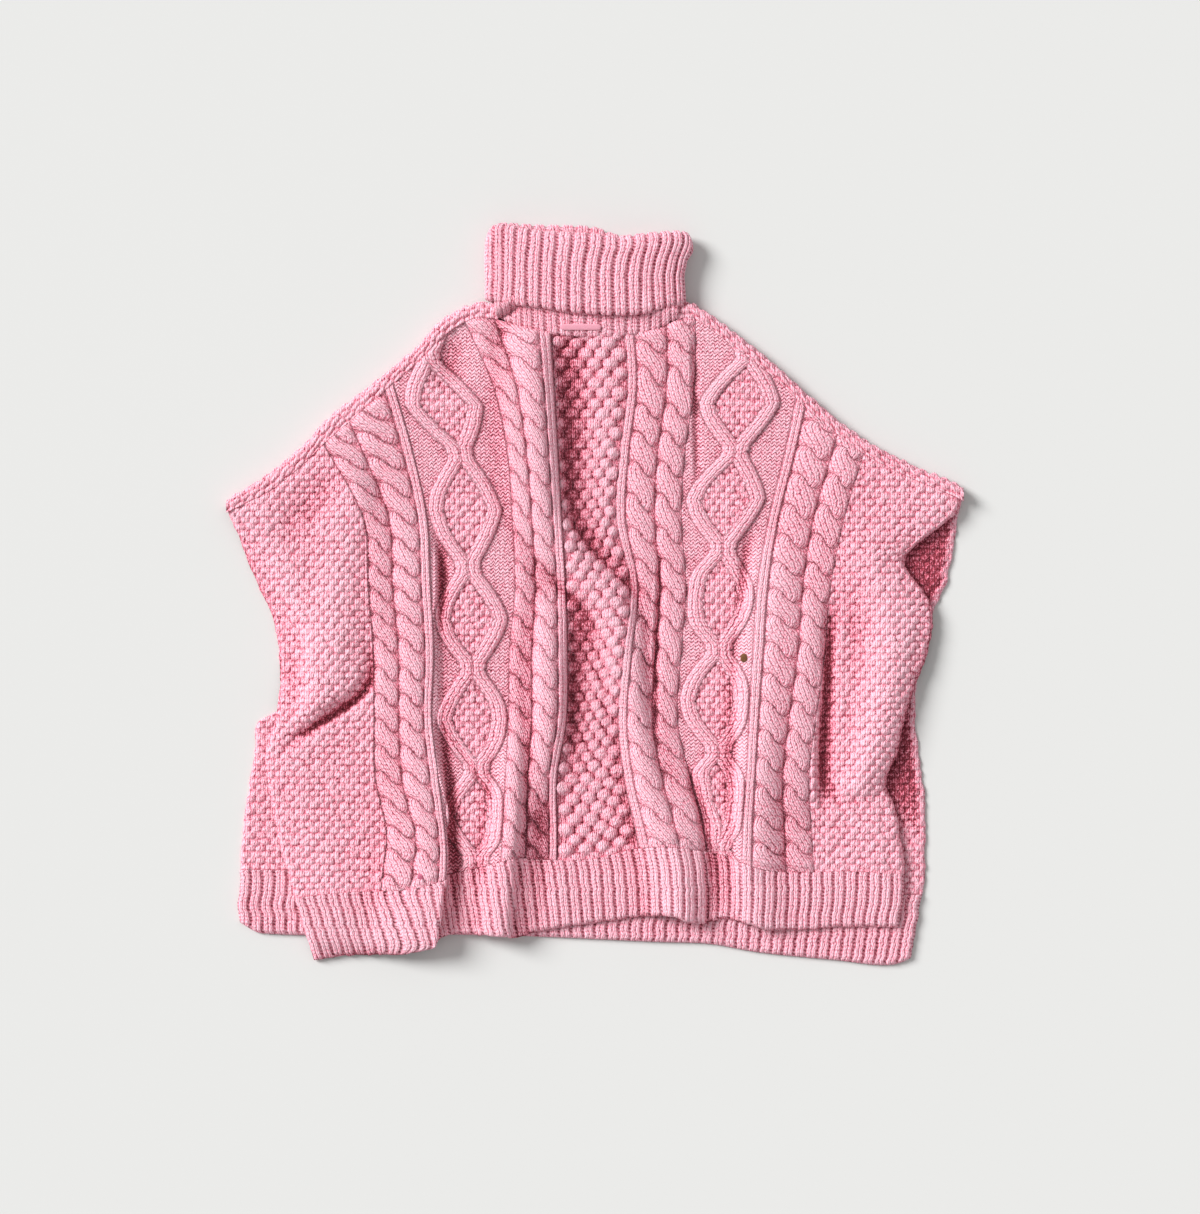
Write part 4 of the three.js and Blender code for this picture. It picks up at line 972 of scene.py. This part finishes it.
def collar_piece():
    around = 2 * np.arange(COLLAR_RIBS * COLLAR_RIB_POINTS) / (COLLAR_RIBS * COLLAR_RIB_POINTS)
    rings = np.stack([collar_ring(ring, around) for ring in COLLAR_RINGS])
    places, shares, banded = [], [], []
    for k, ring in enumerate(COLLAR_RINGS):
        after = (k + 1) % len(rings)
        for t in np.arange(ring["steps"]) / ring["steps"]:
            places.append(mix(rings[k], rings[after], t))
            shares.append(mix(ring["ribbed"], COLLAR_RINGS[after]["ribbed"], t))
            banded.append(ring["front"][0] == "seam" and ring["ribbed"] > 0)
    base, shares, banded = np.stack(places), np.array(shares), np.array(banded)
    for _ in range(2):
        base = 0.5 * base + 0.25 * (np.roll(base, 1, 0) + np.roll(base, -1, 0))
    in_front = banded[:, None] & (around < 1)
    base[..., 2] += np.where(in_front, neck_folds(base[..., 0], base[..., 1]), 0)
    du = np.roll(base, -1, 1) - np.roll(base, 1, 1)
    dv = np.roll(base, -1, 0) - np.roll(base, 1, 0)
    normal = unit(np.cross(du, dv))
    walk = np.cumsum(np.linalg.norm(np.diff(base, axis=0, prepend=base[:1]), axis=-1), 0)
    relief, coords = ribs(COLLAR_RIBS, np.broadcast_to(around / 2, walk.shape), walk)
    relief = relief * shares[:, None]
    points = base + normal * relief[..., None]
    at_end = np.exp(-(((base[..., 1] - collar_end(base[..., 0])) / 4) ** 2))
    at_end = at_end * (around < 1) * ~banded[:, None]
    points[..., 1] -= COLLAR_SCALLOP * relief / RIB_HEIGHT * at_end
    points[..., 2] = np.maximum(points[..., 2], 0)
    # Painted shade darkens the neck band close under the collar's lower edge; the neck band's folds add
    # painted shade in the furrow and painted light on the flap
    under = np.exp(-np.maximum(0, collar_end(base[..., 0]) - base[..., 1]) / 5)
    turned = 0.05 * np.minimum(neck_folds(base[..., 0], base[..., 1]), 2) - 0.35 * under
    depth = np.clip(painted_shading(relief, relief * 0) + turned * in_front, 0, 1)
    rows, columns = points.shape[:2]
    ids = np.arange(rows * columns).reshape(rows, columns)
    wrapped = np.concatenate([ids, ids[:1]], 0)
    faces = [grid_quads(np.concatenate([wrapped, wrapped[:, :1]], 1))[:, ::-1]]
    coords = coords.reshape(-1, 3)
    return make_object("turned_down_collar", points.reshape(-1, 3), faces, coords, depth.ravel())


# Small pieces


def closed_rings(name, places, coords, turned):
    """A closed surface round rings of points, with a cap on the first and the last ring."""
    rings, around = places.shape[:2]
    ids = np.arange(rings * around).reshape(rings, around)
    wrapped = np.concatenate([ids, ids[:, :1]], 1)
    first, last = (ids[0][::-1], ids[-1]) if turned else (ids[0], ids[-1][::-1])
    faces = [grid_quads(wrapped)[:, ::-1], first[None], last[None]]
    return make_object(name, places.reshape(-1, 3), faces, coords.reshape(-1, 3), SMALL_SHADE)


def tab_piece():
    """The small tape, softly rounded, with coordinates for fine threads across it."""
    columns, around = 60, 24
    along = np.linspace(-1, 1, columns)
    angle = np.linspace(0, 2 * np.pi, around, endpoint=False)
    taper = np.maximum(0.04, (1 - np.abs(along) ** 12)) ** 0.5
    profile_y = np.sign(np.cos(angle)) * np.abs(np.cos(angle)) ** 0.7 * TAB["height"] / 2
    profile_z = np.sign(np.sin(angle)) * np.abs(np.sin(angle)) ** 0.7 * TAB["thickness"] / 2
    x = TAB["x"] + np.broadcast_to((along * TAB["width"] / 2)[:, None], (columns, around))
    local_y = taper[:, None] * profile_y
    local_z = taper[:, None] * profile_z + TAB["thickness"] / 2
    cos, sin = np.cos(TAB["tilt"]), np.sin(TAB["tilt"])
    y = TAB["y"] + local_y * cos - local_z * sin
    z = TAB["z"] + local_y * sin + local_z * cos
    coords = stitches(x / TAB["thread"], local_y / TAB["thread"], 0)
    return closed_rings("tab_tape", np.stack([x, y, z], -1), coords, True)


def knot_piece(name, size):
    """A tight knot of yarn: a flattened ball of strands that wind about each other."""
    rings, around = 40, 72
    polar = np.linspace(0.04, np.pi - 0.04, rings)
    angle = np.linspace(0, 2 * np.pi, around, endpoint=False)
    p, a = np.meshgrid(polar, angle, indexing="ij")
    strands = np.cos(3 * a + 4 * np.cos(p)) * np.sin(p)
    radius = size["radius"] * (0.93 + 0.07 * strands)
    x = size["x"] + radius * np.sin(p) * np.cos(a)
    y = size["y"] + radius * np.sin(p) * np.sin(a)
    z = front_height(size["x"], size["y"]) + radius * np.cos(p) * size["height"] / (2 * size["radius"])
    return closed_rings(name, np.stack([x, y, z], -1), stitches(a * 3, p * 4, 0), False)


# Materials


class Nodes:
    """Short names for building a material's nodes."""

    def __init__(self, name):
        self.material = bpy.data.materials.new(name)
        self.material.use_nodes = True
        self.tree = self.material.node_tree
        self.shader = self.tree.nodes["Principled BSDF"]
        self.where = self.node("ShaderNodeTexCoord").outputs["Object"]

    def node(self, kind, **settings):
        made = self.tree.nodes.new(kind)
        for key, value in settings.items():
            setattr(made, key, value)
        return made

    def link(self, source, socket):
        if isinstance(source, (int, float, tuple)):
            socket.default_value = source
        else:
            self.tree.links.new(source, socket)

    def math(self, operation, *values):
        made = self.node("ShaderNodeMath", operation=operation)
        for k, value in enumerate(values):
            self.link(value, made.inputs[k])
        return made.outputs[0]

    def moved(self, value, by, amount, middle=0.5):
        """A value moved up where the other is above its middle, and down where it is below."""
        return self.math("MULTIPLY_ADD", self.math("SUBTRACT", by, middle), amount, value)

    def stitch_values(self):
        """What the mesh keeps for each point: wale, row, and 1 for knit or 0 for purl."""
        parts = self.node("ShaderNodeSeparateXYZ")
        kept = self.node("ShaderNodeAttribute", attribute_name="stitch")
        self.link(kept.outputs["Vector"], parts.inputs[0])
        return parts.outputs

    def bump(self, height, strength, distance):
        made = self.node("ShaderNodeBump")
        made.inputs["Strength"].default_value = strength
        made.inputs["Distance"].default_value = distance
        self.link(height, made.inputs["Height"])
        self.link(made.outputs[0], self.shader.inputs["Normal"])

    def surface(self, colour, values):
        """The shader's colour and its plain values by name."""
        self.link(colour, self.shader.inputs["Base Color"])
        for name, value in values.items():
            self.shader.inputs[name].default_value = value

    def noise(self, scale, detail=2.0):
        made = self.node("ShaderNodeTexNoise")
        self.link(self.where, made.inputs["Vector"])
        made.inputs["Scale"].default_value = scale
        made.inputs["Detail"].default_value = detail
        return made.outputs["Fac"]

    def blend(self, factor, first, second):
        made = self.node("ShaderNodeMix", data_type="RGBA")
        self.link(factor, made.inputs["Factor"])
        self.link(first, made.inputs[6])
        self.link(second, made.inputs[7])
        return made.outputs[2]

    def ramp(self, factor, stops):
        """Colours at rising places from 0 to 1."""
        made = self.node("ShaderNodeValToRGB")
        self.link(factor, made.inputs[0])
        elements = made.color_ramp.elements
        for place, colour in stops[2:]:
            elements.new(place)
        for element, (place, colour) in zip(elements, stops):
            element.position = place
            element.color = colour
        return made.outputs[0]

    def between(self, factor, first, second):
        made = self.node("ShaderNodeMix", data_type="FLOAT")
        self.link(factor, made.inputs["Factor"])
        self.link(first, made.inputs[2])
        self.link(second, made.inputs[3])
        return made.outputs[0]


# The yarn's pink, from painted shade at 0, deep in gaps and folds, to painted light at 1, on raised
# knitting and crests
PINKS_SHADE_TO_LIGHT = [
    (0.0, (0.25, 0.028, 0.046, 1.0)),
    (0.2, (0.58, 0.108, 0.162, 1.0)),
    (0.4, (0.88, 0.257, 0.355, 1.0)),
    (0.6, (0.975, 0.40, 0.50, 1.0)),
    (0.8, (0.99, 0.49, 0.59, 1.0)),
    (1.0, (0.99, 0.57, 0.665, 1.0)),
]


def parabola(n, value):
    """One minus the square of twice the value less one."""
    centred = n.math("MULTIPLY_ADD", value, 2.0, -1.0)
    return n.math("SUBTRACT", 1.0, n.math("MULTIPLY", centred, centred))


def knit_material(name, shade_to_light_pinks, bump=1.7):
    """Knitted yarn: V stitches or purl dashes that follow the stitch coordinates, heather, and painted
    shade and light from depth and the stitches' grooves.
    """
    n = Nodes(name)
    wale, row, knit = n.stitch_values()
    fuzz = n.noise(900.0, 3.0)
    yarn = n.noise(400.0)
    wale = n.moved(wale, n.noise(170.0), 0.8)
    row = n.moved(row, yarn, 0.9)
    inside = n.math("FRACT", wale)
    away = n.math("ABSOLUTE", n.math("MULTIPLY_ADD", inside, 2.0, -1.0))
    leg = parabola(n, n.math("FRACT", n.math("SUBTRACT", row, n.math("MULTIPLY", away, 0.5))))
    split = n.math("MINIMUM", n.math("MULTIPLY_ADD", away, 2.2, 0.45), 1.0)
    side = n.math("SUBTRACT", 1.0, n.math("POWER", away, 5.0))
    vee = n.math("MULTIPLY", n.math("MULTIPLY_ADD", leg, 0.5, 0.5), n.math("MULTIPLY", split, side))
    waved = n.math("MULTIPLY_ADD", n.math("SINE", n.math("MULTIPLY", wale, 6.2832)), 0.16, row)
    dash = parabola(n, n.math("FRACT", waved))
    stitch = n.between(knit, dash, vee)
    relief = n.math("MULTIPLY_ADD", fuzz, 0.5, stitch)
    n.bump(n.math("MULTIPLY_ADD", yarn, 0.9, relief), 0.9, bump * MM)
    # The kept painted shade and light (depth), with more painted shade in the stitches' grooves and
    # painted light on their tops, then heather at random
    depth = n.node("ShaderNodeAttribute", attribute_name="depth").outputs["Fac"]
    tone = n.moved(depth, stitch, 0.75, middle=0.6)
    tone = n.moved(tone, yarn, 1.5)
    tone = n.moved(tone, fuzz, 1.2)
    tone = n.moved(tone, n.noise(9.0), 0.3)
    n.surface(n.ramp(tone, shade_to_light_pinks), {
        "Roughness": 0.92, "Specular IOR Level": 0.2, "Sheen Weight": 0.14,
        "Sheen Roughness": 0.5, "Sheen Tint": (1.0, 0.8, 0.86, 1.0)})
    return n.material


def plain_yarn_material(name, light, deep, scale):
    """Smooth tape or a knot of yarn: fine threads across it and a little heather."""
    n = Nodes(name)
    wale, row, _ = n.stitch_values()
    thread = parabola(n, n.math("FRACT", n.math("ADD", wale, row)))
    grain = n.noise(scale)
    n.bump(n.math("MULTIPLY_ADD", grain, 0.5, thread), 0.6, 0.4 * MM)
    colour = n.blend(n.math("MULTIPLY_ADD", thread, 0.3, grain), deep, light)
    n.surface(colour, {"Roughness": 0.8, "Sheen Weight": 0.15})
    return n.material


KNIT = knit_material("heathered_pink_knit", PINKS_SHADE_TO_LIGHT)
RIB = knit_material("heathered_pink_rib", PINKS_SHADE_TO_LIGHT, 1.5)
BACK_KNIT = knit_material("heathered_pink_plain", PINKS_SHADE_TO_LIGHT)
TAPE = plain_yarn_material("pink_tape", (0.95, 0.44, 0.54, 1.0), (0.74, 0.25, 0.35, 1.0), 700.0)
PINK_YARN = plain_yarn_material("pink_yarn", (0.62, 0.15, 0.25, 1.0), (0.34, 0.05, 0.10, 1.0), 500.0)
BROWN_YARN = plain_yarn_material("brown_yarn", (0.22, 0.085, 0.02, 1.0), (0.06, 0.02, 0.006, 1.0), 400.0)


def finished(made, material, node, slot):
    made.data.materials.append(material)
    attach(made, "root")
    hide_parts(node)


# Each piece of cloth with the size that it is knitted to: width, length and flat area in metres
SHEETS = [
    (front_piece("front_left_moss_and_cables", 0, 3), KNIT, "front_panel", "cable_knit",
     (0.26, 0.57), 0.105, ["back_cloth"]),
    (front_piece("front_left_diamonds", 4, 7), KNIT, "front_panel", "cable_knit",
     (0.16, 0.58), 0.082, ["back_cloth"]),
    (front_piece("front_centre_bobbles", 8, 11), KNIT, "front_panel", "cable_knit",
     (0.17, 0.56), 0.082, ["back_cloth"]),
    (front_piece("front_right_diamonds_and_moss", 12, 16), KNIT, "front_panel", "cable_knit",
     (0.27, 0.55), 0.115, ["back_cloth"]),
    (front_hem_piece(), RIB, "front_hem", "rib_knit", (0.65, 0.075), 0.043, ["back_hem_rib"]),
    (back_piece(), BACK_KNIT, "back_panel", "plain_knit", (0.78, 0.6), 0.385, []),
    (roll_piece("left_shoulder_roll", -ROLL_END, NECK_LEFT + ROLL_TUCK), BACK_KNIT, "back_panel",
     "plain_knit", (0.34, 0.045), 0.0095, ["front_left_moss_and_cables"]),
    (roll_piece("right_shoulder_roll", NECK_RIGHT - ROLL_TUCK, ROLL_END), BACK_KNIT, "back_panel",
     "plain_knit", (0.34, 0.045), 0.0095, ["front_right_diamonds_and_moss"]),
    (back_hem_piece(), RIB, "back_hem", "rib_knit", (0.72, 0.075), 0.048, []),
    (collar_piece(), RIB, "turtleneck", "rib_knit", (0.43, 0.19), 0.077, ["front_centre_bobbles"]),
]
for made, material, node, slot, flat, area, rests_on in SHEETS:
    finished(made, material, node, slot)
    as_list(rests_on)

finished(tab_piece(), TAPE, "neck_tab", "tab")
finished(knot_piece("pink_yarn_knot", HEM_KNOT), PINK_YARN, "hem_knot", "pink_yarn")
finished(knot_piece("brown_yarn_knot", SIDE_KNOT), BROWN_YARN, "side_knot", "brown_yarn")


# The surface, the light and the camera


def floor():
    mesh = bpy.data.meshes.new("floor")
    corners = [(-1, -1), (1, -1), (1, 1), (-1, 1)]
    corners = [(x * FLOOR_HALF, y * FLOOR_HALF, -FLOOR_DROP) for x, y in corners]
    mesh.from_pydata(corners, [], [(0, 1, 2, 3)])
    n = Nodes("pale_surface")
    pale = n.blend(n.noise(2.0), (0.656, 0.656, 0.644, 1.0), (0.661, 0.661, 0.649, 1.0))
    n.surface(pale, {"Roughness": 0.9})
    mesh.materials.append(n.material)
    linked("floor", mesh)


def sun(name, direction, strength, softness):
    """Even light from far away, with shadows as soft as the angle that it comes from."""
    data = bpy.data.lights.new(name, "SUN")
    data.energy = strength
    data.angle = np.radians(softness)
    linked(name, data).rotation_euler = Vector(direction).to_track_quat("-Z", "Y").to_euler()


def light_and_camera():
    world = bpy.data.worlds.new("studio")
    bpy.context.scene.world = world
    world.use_nodes = True
    light = world.node_tree.nodes["Background"].inputs
    light[0].default_value = (1.0, 1.0, 1.0, 1.0)
    light[1].default_value = WORLD_STRENGTH
    sun("key_light", direction=(0.84, -0.48, -0.68), strength=4.1, softness=26)
    data = bpy.data.cameras.new("camera")
    camera = linked("camera", data)
    camera.location = CAMERA_AT
    data.lens = SENSOR * (CAMERA_AT[2] - PICTURE_LEVEL) / PICTURE_WIDTH
    data.sensor_width = SENSOR
    data.clip_end = 20
    data.dof.use_dof = False
    bpy.context.scene.camera = camera
    bpy.context.scene.view_settings.view_transform = "Standard"


floor()
light_and_camera()
